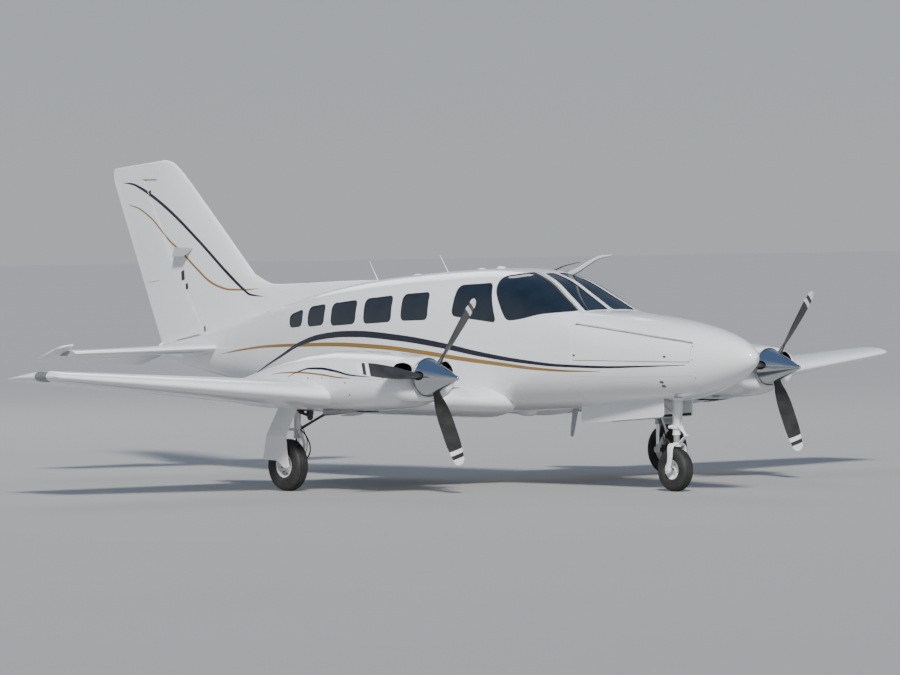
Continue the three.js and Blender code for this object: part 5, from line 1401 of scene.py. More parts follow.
def make_fin():
    low, high = (RUDDER["low"][0], 0, RUDDER["low"][1]), (RUDDER["high"][0], 0, RUDDER["high"][1] - 12)
    room = join(
        bare(rudder_room(0), white_paint),
        bare(rod(low, high, RUDDER["low_r"], 64, RUDDER["high_r"]), white_paint),
    )
    rudder = common(bare(fin_form(), white_paint), room)
    # The rudder's cut foot and the fin's cut faces along the hinge gap are mid grey: painted shade in the
    # gaps.
    cut(
        rudder,
        prism([[-3700, 1557], [-4650, 1403], [-4800, 1379], [-4800, 1000], [-3700, 1000]], -300, 300),
        soft_seam_and_gap_shade,
    )
    cove = join(
        bare(rudder_room(6), soft_seam_and_gap_shade),
        bare(rod(*stretched([low, high], 60), RUDDER["low_r"] + 7, 64, RUDDER["high_r"] + 6), soft_seam_and_gap_shade),
    )
    fin = cut(bare(fin_form(), white_paint), cove)
    cut(fin, ring_body(hull_rings(np.linspace(-4640, -2000, 60), -2.0)))
    dress(rudder, "rudder_skin", "rudder_body", 32, ("rudder",))
    dress(fin, "fin_skin", "airframe", 32, ("fin",))

    x = np.linspace(-3290, -297, 110)
    half, top = np.moveaxis(through(FILLET_ROWS, x), -1, 0)
    turn = np.linspace(0, math.pi, 33)
    c, s = np.cos(turn), np.sin(turn)
    wide = np.sign(c) * np.abs(c) ** 0.72
    foot = np.minimum(skin_z(x, half) - 30, top - 60)
    height = np.minimum(np.maximum(90.0, top - foot), 400)
    ring = np.stack(
        [
            np.broadcast_to(x[:, None], (len(x), 33)), half[:, None] * wide,
            (top - height)[:, None] + height[:, None] * s**0.6,
        ],
        axis=-1,
    )
    floor = ring[:, ::-1] * (1, 1, 0) + np.stack([0 * half, 0 * half, top - height - 20], axis=-1)[:, None]
    fillet = bare(ring_body(np.concatenate([ring, floor[:, [0, -1]]], axis=1)), white_paint)
    dress(fillet, "dorsal_fillet", crease=40)

    # A plate on each side of the fin, drooping outwards. Its grey is painted shade, as its face turns down
    # out of the light.
    share = np.linspace(0, 1, 14)[:, None]
    root = np.array([(-4347, 30, 2552), (-3950, 30, 2552), (-3950, 30, 2545), (-4347, 30, 2545)], float)
    tip = np.array([(-4250, 150, 2430), (-4050, 150, 2430), (-4050, 150, 2423), (-4250, 150, 2423)], float)
    plate = ring_body(root + share[..., None] * (tip - root))
    both_sides("fin_plate", plate, grey_and_painted_shade)


make_wings()
make_nacelles()
make_propellers()
make_tailplane()
make_fin()


# Landing gear

MAIN_WHEEL = {"x": 1093, "y": 2675, "radius": 275, "width": 165, "rim": 135}
NOSE_WHEEL = {"x": 4253, "y": 0, "radius": 228, "width": 150, "rim": 105}
SIDEWALL = np.array([[0, 0.72], [0.2, 0.93], [0.45, 1.0], [0.7, 0.97], [0.86, 0.86], [0.96, 0.7], [1, 0.56]])


def tyre_form(wheel, grooves):
    """A tyre turned about its axle: bulging sidewalls, a crowned tread, and grooves round it."""
    half, rim = wheel["width"] / 2, wheel["rim"] + 0.5
    t = np.linspace(0, 1, 26)
    side = through(SIDEWALL, t)[:, 0] * half
    edge = SIDEWALL[-1, 1] * half
    crown = lambda y: wheel["radius"] - 5 * (y / edge) ** 2
    reach = rim + t * (crown(edge) - rim)
    tread = []
    for y in grooves:
        tread += [(crown(y), y - 4.5), (crown(y) - 6, y - 3), (crown(y) - 6, y + 3), (crown(y), y + 4.5)]
    for y in np.linspace(-edge * 0.96, edge * 0.96, 15):
        if min(abs(y - g) for g in grooves) > 7:
            tread.append((crown(y), y))
    tread.sort(key=lambda p: p[1])
    ribs = [(r, -s) for r, s in zip(reach, side)]
    profile = ribs + tread + [(r, -s) for r, s in ribs[::-1]] + [(rim, 0), ribs[0]]
    return lathe(profile, (wheel["x"], wheel["y"], wheel["radius"]), "y", 144)


def rim_form(wheel, cap, back):
    """A dished wheel: a hub cap, a recessed web, and a lip that turns over at the bead."""
    r, w = wheel["rim"], wheel["width"] * 0.36
    face = lambda hub, s: [
        (0, s * (hub + 6)), (16, s * (hub + 5)), (24, s * hub), (28, s * (hub - 8)), (30, s * 16),
        (36, s * 12),
        (r * 0.6, s * 9), (r * 0.72, s * 12), (r * 0.8, s * 26), (r * 0.86, s * (w - 6)), (r * 0.92, s * w),
        (r - 3, s * w), (r, s * (w - 3)), (r - 1, s * (w - 10)),
    ]
    profile = face(cap, 1) + face(back, -1)[::-1]
    return lathe(profile, (wheel["x"], wheel["y"], wheel["radius"]), "y", 96)


def wheel_bolts(wheel, ring, count, depth, radius, side=1):
    """Six-sided bars at even angles on a circle about the axle."""
    forms = []
    for k in range(count):
        a = 2 * math.pi * (k + 0.5) / count
        x, z = wheel["x"] + ring * math.cos(a), wheel["radius"] + ring * math.sin(a)
        start = wheel["y"] + side * depth[0]
        forms.append(rod((x, start, z), (x, wheel["y"] + side * depth[1], z), radius, 6))
    return together(*forms)


LEG_X, LEG_Y = 1093, 2545
AXLE_Z = MAIN_WHEEL["radius"]
# Routes from the leg's upper fitting to the calliper: ahead of the leg, to port of it, and height.
HOSE = [
    (20, -8, 655), (62, -28, 618), (112, -42, 556), (152, -46, 484), (164, -38, 414), (150, -18, 356),
    (120, 8, 318),
    (98, 24, 302),
]
THIN_HOSE = [
    (10, -34, 700), (46, -46, 640), (86, -52, 560), (108, -46, 480), (108, -26, 410), (96, 0, 362),
    (80, 20, 325),
]


def strap(path, wide, thick, up=(0, 1, 0)):
    """A flat bar along a path: its section is a rounded oblong, its width may change."""
    path = np.asarray(path, float)
    a, b = frames_along(path, up)
    turn = whole_turn(24)
    c, s = np.cos(turn), np.sin(turn)
    c, s = np.sign(c) * np.abs(c) ** 0.45, np.sign(s) * np.abs(s) ** 0.45
    wide = np.broadcast_to(np.asarray(wide, float), len(path))[:, None, None] / 2
    thick = np.broadcast_to(np.asarray(thick, float), len(path))[:, None, None] / 2
    ring = wide * c[None, :, None] * b[:, None] + thick * s[None, :, None] * a[:, None]
    return ring_body(path[:, None] + ring)


def torque_links(y, top, apex, foot):
    """Scissors ahead of a leg: two tapered arms that meet at a pin."""
    ax, az = apex
    arms = [
        strap(np.linspace((x0, y, z0), (ax, y, az), 6), np.linspace(62, 26, 6), 13)
        for x0, z0 in (top, foot)
    ]
    pins = [rod((ax, y - 24, az), (ax, y + 24, az), 11, 24)]
    pins += [rod((x0, y - 36, z0), (x0, y + 36, z0), 12, 24) for x0, z0 in (top, foot)]
    return together(*arms, *pins)


DOOR_EDGE = [
    [923, 890], [1233, 890], [1193, 585], [1232, 330], [1243, 250], [1165, 250], [1050, 322], [813, 330],
    [868, 585],
]


def leg_door_y(x, z):
    """The leg door is upright beside the wheel, and leans in above it."""
    return np.interp(z, [585, 890], [2778, 2646]) + 0 * x


def make_main_gear():
    bodies = PAIR("main_wheel")
    both_sides(
        "tyre_main", tyre_form(MAIN_WHEEL, (-34.0, -12.0, 12.0, 34.0)), tyre_rubber, bodies, 28,
        ("main_tyre",),
    )
    both_sides("wheel_main", rim_form(MAIN_WHEEL, 34, 20), gear_paint, bodies, 32, ("main_rim",))
    both_sides("wheel_main_bolts", wheel_bolts(MAIN_WHEEL, 66, 8, (6, 17), 6.5), bare_steel, bodies)
    # Ten near-black bars sunk in the wheel's face stand for its holes: painted shade seen through them.
    both_sides(
        "wheel_main_hole_shade", wheel_bolts(MAIN_WHEEL, 91, 10, (10, 21.5), 7.5), opening_shade, bodies,
    )
    disc = lathe(
        [(42, -52), (108, -52), (108, -42), (42, -42), (42, -52)],
        (MAIN_WHEEL["x"], MAIN_WHEEL["y"], AXLE_Z), "y", 96,
    )
    both_sides("brake_disc", disc, bare_steel, bodies)

    x, y = LEG_X, LEG_Y
    fixed = [
        lathe(
            [
                (0, 1000), (36, 1000), (36, 640), (38, 638), (38, 600), (36, 598), (36, 574), (41, 572),
                (41, 558), (28, 556), (0, 556),
            ],
            (x, y, 0), "z", 64,
        ),
        rod((x, y - 38, AXLE_Z), (x, y + 34, AXLE_Z), 36, 48),
        lathe(
            [(0, 262), (30, 262), (36, 280), (36, 300), (29, 318), (27, 336), (0, 336)], (x, y, 0), "z", 48,
        ),
        torque_links(y, (x + 34, 626), (x + 128, 488), (x + 32, 332)),
        rod((x + 4, y - 34, 640), (x + 4, y + 22, 640), 24, 32),
    ]
    both_sides("main_leg_parts", together(*fixed), gear_paint, "airframe", stands_for=("main_leg",))

    # A side brace runs up and inboard into the nacelle, and a jack stands ahead of it.
    brace = strap(
        [(x + 6, y - 8, 640), (x + 22, 2330, 738), (x + 40, 2050, 866)], (40, 36, 40), (24, 20, 24),
        (1, 0, 0),
    )
    jack_x, jack_y = x + 96, y - 96
    jack = [
        tube([(jack_x, jack_y, z) for z in (742, 756, 758, 800, 802, 900)], (20, 22, 30, 30, 38, 38), 32),
        strap([(x + 20, y - 30, 826), (jack_x, jack_y, 788)], 40, 22),
        rod((jack_x - 34, jack_y, 782), (jack_x + 34, jack_y, 782), 15, 24),
        rod((x - 34, y - 4, 842), (x + 60, y - 20, 842), 30, 32),
    ]
    both_sides("main_brace", together(brace, *jack), dark_metal, "airframe")
    both_sides("main_leg_rod", rod((x, y, 320), (x, y, 562), 26, 48), chrome_rod, "airframe")
    both_sides(
        "main_axle", rod((x, y - 30, AXLE_Z), (x, MAIN_WHEEL["y"] + 30, AXLE_Z), 18, 32), bare_steel,
        "airframe",
    )
    calliper = [block((x + 40, y + 4, AXLE_Z - 56), (x + 108, y + 62, AXLE_Z + 56), 9)]
    calliper.append(block((x - 20, y - 12, AXLE_Z - 22), (x + 60, y + 20, AXLE_Z + 22), 6))
    calliper += [rod((x + 74, y - 2, AXLE_Z + d), (x + 74, y + 20, AXLE_Z + d), 16, 24) for d in (-28, 28)]
    both_sides("brake_calliper", together(*calliper), dark_metal, "airframe")

    # Each brake has two hoses, which leave the leg, bow out ahead of it, and come back to the calliper.
    for side, name in ((1, "left"), (-1, "right")):
        for label, route, radius in (("brake_hose_", HOSE, 7.0), ("brake_line_", THIN_HOSE, 4.5)):
            path = curve_through([(x + a, (y + b) * side, z) for a, b, z in route], 90)
            nodes = ("brake_hose_" + name,) if radius == 7.0 else ()
            hose = piece(
                label + "tube_" + name, tube(path, radius, 20), black_rubber_and_shade, "airframe",
                stands_for=nodes,
            )

    outline = rounded(DOOR_EDGE, 22, 300)
    door = side_panel(outline, -12.0, 0.0, surface=leg_door_y, rings=14)
    stiff = [rod((x, y, 800), (x, 2690, 800), 14, 24), rod((x, y, 650), (x, 2768, 650), 14, 24)]
    both_sides("leg_door_plate", door, white_paint, "airframe", 40, ("leg_door",))
    both_sides("leg_door_arms", together(*stiff), gear_paint, "airframe")
    # A near-black plate under the nacelle where the well opens: painted shade in the well.
    well = moved(
        prism(rounded([[820, -150], [1300, -150], [1300, 210], [820, 210]], 60, 80), 846, 857, "z"),
        (0, ENGINE_Y, 0),
    )
    both_sides("main_well_shade", well, opening_shade)


STRUT_X, CROWN_Z = 4275, 492
NOSE_DOOR_Y = 203.0


def make_nose_gear():
    wheel = NOSE_WHEEL
    piece(
        "tyre_nose", tyre_form(wheel, (-30.0, -10.0, 10.0, 30.0)), tyre_rubber, "nose_wheel", 28,
        ("nose_tyre",),
    )
    piece("wheel_nose", rim_form(wheel, 22, 22), white_paint, "nose_wheel", 32, ("nose_rim",))
    bolts = together(*[wheel_bolts(wheel, 52, 6, (6, 16), 6, side) for side in (1, -1)])
    piece("wheel_nose_bolts", bolts, dark_metal, "nose_wheel")

    x = STRUT_X
    parts = [
        lathe(
            [
                (0, 1128), (66, 1128), (64, 1040), (46, 830), (42, 780), (40, 760), (40, 612), (44, 610),
                (44, 592), (31, 590), (0, 590),
            ],
            (x, 0, 0), "z", 64,
        ),
        strap([(x, -189, 1064), (x, 189, 1064)], 80, 44, (0, 0, 1)),
        rod((x - 20, -82, 830), (x - 20, 82, 830), 18, 32),
    ]
    for side in (1, -1):
        parts.append(
            strap(
                [(x - 20, side * 62, 830), (x - 270, side * 80, 1000), (x - 520, side * 95, 1165)],
                (34, 26, 34), (20, 16, 20),
            )
        )
        parts.append(rod((x + 26, side * 44, 700), (x + 30, side * 52, 1060), 9, 20))
    piece("nose_leg_parts", together(*parts), white_paint, stands_for=("nose_leg",))

    arch = []
    for side in (1, -1):
        route = curve_through(
            [
                (x, 0, CROWN_Z + 2), (x, side * 60, CROWN_Z), (x + 2, side * 92, CROWN_Z - 34),
                (x + 4, side * 99, 380), (x - 8, side * 99, 300), (wheel["x"], side * 99, 228),
                (wheel["x"] - 2, side * 99, 204),
            ],
            40,
        )
        width = np.interp(np.arange(40), [0, 8, 18, 30, 39], [84, 88, 66, 56, 34])
        arch.append(strap(route, width, 27, (1, 0, 0)))
        arch.append(
            lathe(
                [
                    (0, side * 84), (32, side * 84), (34, side * 88), (34, side * 108), (30, side * 112),
                    (0, side * 112),
                ],
                (wheel["x"], 0, wheel["radius"]), "y", 48,
            )
        )
        arch.append(
            lathe(
                [(0, side * 112), (15, side * 112), (15, side * 121), (0, side * 121)],
                (wheel["x"], 0, wheel["radius"]), "y", 6,
            )
        )
    arch += [
        lathe(
            [(41.5, 655), (58, 655), (61, 659), (61, 696), (58, 700), (41.5, 700), (41.5, 655)], (x, 0, 0),
            "z", 64,
        ),
        lathe([(0, 470), (48, 470), (50, 486), (44, 505), (34, 512), (0, 512)], (x, 0, 0), "z", 48),
        torque_links(0, (x + 58, 678), (x + 148, 588), (x + 40, 496)),
        rod((x - 14, -86, 678), (x - 14, 86, 678), 11, 24),
        rod((x - 14, -92, 678), (x - 14, -60, 678), 17, 24),
    ]
    piece(
        "nose_fork_parts", together(*arch), white_paint, "nose_steering", stands_for=("nose_fork",),
    )
    piece("nose_fork_rod", rod((x, 0, 500), (x, 0, 591), 30, 48), chrome_rod, "nose_steering")
    piece(
        "nose_axle", rod((wheel["x"], -100, wheel["radius"]), (wheel["x"], 100, wheel["radius"]), 18, 32),
        bare_steel, "nose_steering",
    )

    flat = lambda x, z: NOSE_DOOR_Y + 0 * x + 0 * z
    corners = [[2993, 690], [4303, 786], [4303, 1010], [2993, 900]]
    door = side_panel(rounded(corners, 34, 200), -6.0, 6.0, surface=flat, rings=10)
    ribs = [
        strap([(a, 197, 720 + 0.073 * (a - 2993)), (a, 194, 880 + 0.073 * (a - 2993))], 40, 9, (1, 0, 0))
        for a in (3200, 3500, 3800, 4100)
    ]
    hinges = [
        rod((a, 193, 868 + 0.085 * (a - 2993)), (a + 70, 193, 874 + 0.085 * (a - 2993)), 9, 16)
        for a in (3120, 3560, 4000)
    ]
    both_sides("nose_door_plate", door, white_paint, "airframe", 40, ("nose_gear_door",))
    both_sides("nose_door_ribs", together(*ribs, *hinges), gear_paint)
    # A near-black strip on the inner face of each nose door, along its lower edge: painted shade where the
    # doors' insides lie in shadow.
    inner = [[3010, 700], [4290, 794], [4290, 820], [3010, 726]]
    edge = side_panel(rounded(inner, 9, 200), 6.2, 9.0, surface=flat, rings=6)
    both_sides("nose_door_inner_shade", edge, black_rubber_and_shade, "airframe")


# Cabin

FLOOR_Z = 1000


def pad_form(centre, size, lean=0.0, channels=(), crown=0.2, across="x"):
    """A cushion: a rounded box that swells in its middle and draws in between its corners, with sewn
    channels. Lean shifts it forward with height."""
    u = whole_turn(96)[None]
    v = np.linspace(-math.pi / 2, math.pi / 2, 40)[1:-1, None]
    bend = lambda value, power: np.sign(value) * np.abs(value) ** power
    a, b, c = (s / 2 for s in size)
    x = bend(np.cos(v), 0.35) * bend(np.cos(u), 0.32)
    y = bend(np.cos(v), 0.35) * bend(np.sin(u), 0.32)
    z = bend(np.sin(v), 0.42) * np.ones_like(u)
    thin = {"x": 0, "z": 2}[across]
    parts = [x, y, z]
    flat = [parts[k] for k in range(3) if k != thin]
    swell = 1 + crown * (1 - flat[0] ** 2) * (1 - flat[1] ** 2)
    for at in channels:
        swell = swell - 0.13 * np.exp(-(((flat[0] if across == "z" else flat[1]) - at) / 0.035) ** 2)
    parts[thin] = parts[thin] * swell
    x, y, z = parts[0] * a, parts[1] * b, parts[2] * c
    return ring_body(np.stack([x + lean * z + centre[0], y + centre[1], z + centre[2]], axis=-1))


def seat_forms(x, y, width, tall=1010):
    """The cushion, the leaning back and the headrest of a seat."""
    top = FLOOR_Z + tall
    back = top - 160 - 1330
    return [
        pad_form((x + 235, y, 1306), (450, width - 8, 122), 0, (-0.45, 0.0, 0.45), 0.16, "z"),
        pad_form((x - 32, y, 1330 + back / 2), (112, width - 30, back), -0.27, (-0.5, 0.0, 0.5), 0.2),
        pad_form((x - 100, y, top - 80), (78, 236, 150), 0, (), 0.2),
    ]


def seat_frame(x, y, width, tall=1010):
    """A seat's base, its two floor rails and its armrests."""
    forms = [
        block((x + 70, y - width / 2 + 80, FLOOR_Z + 20), (x + 390, y + width / 2 - 80, FLOOR_Z + 248), 12)
    ]
    for side in (1, -1):
        forms.append(
            rod(
                (x + 40, y + side * (width / 2 - 60), FLOOR_Z + 12),
                (x + 440, y + side * (width / 2 - 60), FLOOR_Z + 12), 12, 16,
            )
        )
        rail = curve_through(
            [
                (x + 10, y + side * (width / 2 - 6), 1400), (x + 60, y + side * (width / 2 - 2), 1520),
                (x + 320, y + side * (width / 2 - 2), 1530),
            ],
            20,
        )
        forms.append(strap(rail, 40, 34))
    return forms


def make_cabin():
    groups = {
        "crew_seats": [(1980, 325, 440, 1010), (1980, -325, 440, 1010)],
        "cabin_seats_left": [(1150, 325, 420, 1010), (400, 325, 420, 1010), (-1190, 270, 380, 860)],
        "cabin_seats_right": [
            (1150, -325, 420, 1010), (400, -325, 420, 1010), (-340, -325, 420, 1010), (-1060, -270, 380, 860),
        ],
    }
    for node, seats in groups.items():
        pads, frames = [], []
        for seat in seats:
            pads += seat_forms(*seat)
            frames += seat_frame(*seat)
        piece(node + "_frames", together(*frames), panel_dark, "airframe")
        pad = piece(node + "_pads", together(*pads), seat_leather, "airframe", 60, (node,))

    inside = lambda low, high, grow: ring_body(hull_rings(np.linspace(low, high, 24), grow))
    board = common(
        bare(block((2925, -560, 1330), (3110, 560, 1800), 8), panel_dark), inside(2900, 3140, -52.0),
    )
    dress(board, "instrument_board", "airframe", 32, ("instrument_panel",))
    hood = common(
        bare(
            prism([[2850, 1806], [3170, 1770], [3230, 1810], [3120, 1846], [2860, 1838]], -620, 620),
            panel_dark,
        ),
        inside(2840, 3240, -52.0),
    )
    dress(hood, "instrument_hood", "airframe")
    faces, rings, knobs = [], [], []
    for side in (1, -1):
        for row in range(3):
            for col in range(3):
                at = (2925, side * 330 + (col - 1) * 96, 1720 - row * 96)
                faces.append(lathe([(0, -1), (38, -1), (38, 3), (0, 3)], at, "x", 40))
                rings.append(lathe([(37, -5), (43, -5), (44, -1), (44, 3), (37, 3), (37, -5)], at, "x", 40))
    for row in range(5):
        z = 1745 - row * 62
        faces.append(block((2915, -78, z - 24), (2930, 78, z + 24), 3))
        for side in (1, -1):
            knobs.append(
                lathe([(0, -22), (9, -22), (11, -18), (11, 4), (0, 4)], (2918, side * 64, z), "x", 20)
            )
    piece("dial_faces", together(*faces), dial_face, "airframe")
    piece("dial_rings", together(*rings, *knobs), dark_metal, "airframe")
    pedestal = [
        block((2640, -95, FLOOR_Z + 2), (2925, 95, 1330), 14),
        strap([(2680, 0, 1330), (2900, 0, 1440)], 150, 60, (0, 0, 1)),
    ]
    levers = [strap([(2740, -60 + 24 * k, 1340), (2700, -60 + 24 * k, 1450)], 10, 6) for k in range(6)]
    knob = [
        lathe([(0, -14), (9, -12), (12, 0), (9, 12), (0, 14)], (2698, -60 + 24 * k, 1458), "y", 16)
        for k in range(6)
    ]
    piece("pedestal", together(*pedestal), panel_dark, "airframe")
    piece("levers", together(*levers, *knob), dark_metal, "airframe")
    yokes = []
    for y in (325, -325):
        yokes.append(rod((2600, y, 1500), (2930, y, 1500), 14, 24))
        horn = curve_through(
            [
                (2588, y - 138, 1612), (2584, y - 158, 1560), (2586, y - 120, 1505), (2592, y - 40, 1492),
                (2592, y + 40, 1492), (2586, y + 120, 1505), (2584, y + 158, 1560), (2588, y + 138, 1612),
            ],
            60,
        )
        yokes.append(tube(horn, 14, 20))
        yokes.append(block((2574, y - 46, 1474), (2600, y + 46, 1526), 8))
    piece("yokes", together(*yokes), panel_dark, "airframe")

    x = np.linspace(-1600, 3240, 60)
    half = (skin_y(x, np.full(60, float(FLOOR_Z))) - 46)[:, None] * np.linspace(-1, 1, 7)
    top = np.stack(
        [np.broadcast_to(x[:, None], half.shape), half, np.full(half.shape, float(FLOOR_Z))], axis=-1,
    )
    carpet = finish_of(
        "cabin_carpet", (0.075, 0.07, 0.066), (0.12, 0.11, 0.1), 0.5, 0.9, broad=9.0, fine=500.0, bump=0.4,
    )
    sheet = np.concatenate([top, top[:, ::-1] - (0, 0, 14)], axis=1)
    piece("cabin_floor_boards", ring_body(sheet), carpet, "airframe", 32, ("cabin_floor",))


make_main_gear()
make_nose_gear()
make_cabin()


# Belly and roof fittings

def blister(span, half, base, reach, centre=0.0):
    """A rounded cover that stands on a base height and reaches up, or down where reach is negative."""
    v = np.linspace(0, math.pi / 2, 16)[:-1, None]
    u = whole_turn(56)[None]
    share = np.cos(v) ** 0.75
    x = (span[0] + span[1]) / 2 + (span[1] - span[0]) / 2 * share * np.cos(u)
    y = centre + half * share * np.sin(u)
    rows = np.stack([x, y, base + reach * np.sin(v) + 0 * u], axis=-1)
    foot = rows[:1] - (0, 0, math.copysign(14, reach))
    return ring_body(np.concatenate([foot, rows]))


def blade_aerial(points, y, thin=0.2, count=50):
    """A thin blade along points of (station, height, depth front to back)."""
    path = curve_through([(x, y, z) for x, z, _ in points], count)
    along = lengths_along([(p[0], p[1]) for p in points])
    deep = np.interp(np.linspace(0, along[-1], count), along, [p[2] for p in points])
    return tube(path, deep / 2, 32, thin, (0, 1, 0))


def make_fittings():
    blade = blade_aerial([(2660, 850, 96), (2635, 740, 84), (2608, 620, 68), (2590, 535, 50)], 0, 0.16)
    foot = blister((2590, 2730), 26, 848, -20)
    piece("belly_blade", together(blade, foot), grey_and_painted_shade)
    boxes = [blister((1683, 2013), 62, 792, -58), blister((603, 953), 46, 748, -54)]
    piece("belly_covers", together(*boxes), white_paint)
    piece("belly_probe", curve_probe(3250, 880), dark_metal, "airframe")

    whips = []
    for foot_x, foot_z, tip_x, tip_z in ((553, 2250, 393, 2462), (-667, 2152, -830, 2385)):
        path = np.linspace((foot_x, 0, foot_z), (tip_x, 0, tip_z), 24)
        whips.append(tube(path, np.linspace(7, 2.5, 24), 24))
        whips.append(
            lathe([(0, -12), (26, -12), (26, 0), (16, 9), (9, 14), (0, 14)], (foot_x, 0, foot_z), "z", 40)
        )
    piece("roof_whips", together(*whips), white_paint)
    pads = []
    for low, high, half, top in ((-60, 120, 40, 2252), (1050, 1180, 36, 2322), (1370, 1500, 46, 2344)):
        base = float(skin_z((low + high) / 2.0, 0.0)) - 3
        pads.append(blister((low, high), half, base, top - base))
    piece("roof_pads", together(*pads), white_paint)

    arm = [
        (2325, 2212, 66), (2338, 2241, 60), (2503, 2306, 50), (2701, 2392, 40), (2864, 2446, 30),
        (3066, 2469, 10),
    ]
    piece("roof_blade", blade_aerial(arm, 175, 0.22, 90), white_paint)
    low = [(x + 8, z - 0.26 * deep, deep * 0.62) for x, z, deep in arm]
    piece("roof_blade_edge", blade_aerial(low, 175, 0.2, 90), dark_metal)
    shoe = [(2035, 2282), (2110, 2300), (2300, 2352), (2540, 2391)]
    path = curve_through([(x, 175, z) for x, z in shoe], 40)
    piece("roof_cable", tube(path, np.linspace(9, 3, 40), 24), dark_metal)


def curve_probe(x, z):
    """A bent tube below the belly: down, then ahead."""
    path = curve_through([(x, 120, z), (x, 120, z - 40), (x + 14, 120, z - 64), (x + 60, 120, z - 72)], 30)
    return tube(path, np.linspace(7, 4.5, 30), 20)


# Painted bands

FUSELAGE_NAVY = [
    (-2429, 1108, 2), (-1732, 1325, 14), (-1289, 1477, 24), (-875, 1561, 31), (-391, 1601, 34),
    (-118, 1605, 35),
    (588, 1571, 34), (1267, 1505, 31), (1921, 1418, 26), (2544, 1353, 20), (3132, 1314, 15), (3697, 1306, 12),
    (4244, 1319, 8), (4821, 1341, 2),
]
FUSELAGE_GOLD = [
    (-3103, 1332, 2), (-2668, 1385, 10), (-2050, 1436, 15), (-1289, 1466, 19), (-486, 1485, 22),
    (240, 1469, 24),
    (930, 1425, 24), (1597, 1365, 23), (2237, 1316, 20), (2836, 1272, 15), (3269, 1258, 9), (3690, 1259, 2),
]
NACELLE_NAVY = [
    (1321, 1214, 2), (1529, 1281, 7), (1693, 1310, 10), (1870, 1313, 12), (2132, 1291, 11), (2388, 1254, 8),
    (2711, 1239, 2),
]
NACELLE_GOLD = [
    (1000, 1235, 2), (1155, 1252, 5), (1534, 1265, 9), (1887, 1251, 9), (2226, 1225, 6), (2390, 1223, 2),
]
FIN_NAVY = [
    (-5354, 3271, 2), (-5180, 3259, 11), (-4988, 3206, 17), (-4797, 3131, 20), (-4419, 2946, 22),
    (-3856, 2603, 22),
    (-3301, 2230, 22), (-3025, 2062, 18), (-2897, 2001, 12), (-2659, 1981, 2),
]
FIN_GOLD = [
    (-5261, 3016, 2), (-5087, 2987, 8), (-4801, 2866, 12), (-4423, 2602, 14), (-4235, 2499, 15),
    (-3861, 2267, 16),
    (-3675, 2159, 15), (-3489, 2093, 13), (-3266, 2055, 11), (-3026, 2054, 9), (-2749, 2070, 2),
]


def band(rows, place, lift, low=None, high=None, floor=0.0, ceiling=9000.0, count=240):
    """A painted band as a skin of its own. Rows hold station, height and half width. Low and high end it:
    each is a station, or the station at a height. Floor and ceiling cut it along its length."""
    rows = np.array(rows, float)
    share = np.linspace(-1, 1, 7)

    def height(x):
        middle, half = np.moveaxis(through(rows, x), -1, 0)
        top, foot = np.minimum(middle + half, ceiling), np.maximum(middle - half, floor)
        return (top + foot) / 2 + share * np.maximum(top - foot, 0.4) / 2

    ends = []
    for limit, own in ((low, rows[0, 0]), (high, rows[-1, 0])):
        x = np.full(7, own if limit is None or callable(limit) else float(limit))
        if callable(limit):
            x[:] = rows[:, 0].mean()
            for _ in range(40):
                x = 0.5 * x + 0.5 * np.clip(limit(height(x)), rows[0, 0], rows[-1, 0])
        ends.append(x)
    x = ends[0] + np.linspace(0, 1, count)[:, None] * (ends[1] - ends[0])
    z = height(x)
    layers = [place(x, z, np.full(x.shape, -lift)), place(x, z, np.full(x.shape, 1.5 - lift))]
    return ring_body(np.concatenate([layers[0], layers[1][:, ::-1]], axis=1))


def fillet_y(x, z):
    """Half width of the dorsal fillet at a height, from the section that its rings have."""
    half, top = np.moveaxis(through(FILLET_ROWS, x), -1, 0)
    foot = np.minimum(skin_z(x, half) - 30, top - 60)
    tall = np.minimum(np.maximum(90.0, top - foot), 400)
    rise = np.clip((z - top + tall) / tall, 0, 1) ** (1 / 0.6)
    inside = (x > -3290) & (x < -297) & (z < top)
    return np.where(inside, half * np.clip(1 - rise**2, 0, 1) ** 0.36, 0)


def tail_y(x, z):
    """Half width of the fin or of its fillet, whichever is wider."""
    return np.maximum(fin_y(x, z), fillet_y(x, z))


def rudder_edge(z):
    """Station of the rudder's round front edge where it meets the fin's surface."""
    x = -3777 - 0.6723 * (z - 1530)
    radius = np.interp(z, [RUDDER["low"][1], RUDDER["high"][1]], [RUDDER["low_r"], RUDDER["high_r"]])
    return x + np.sqrt(np.clip(radius**2 - fin_y(x, z) ** 2, 0, None))


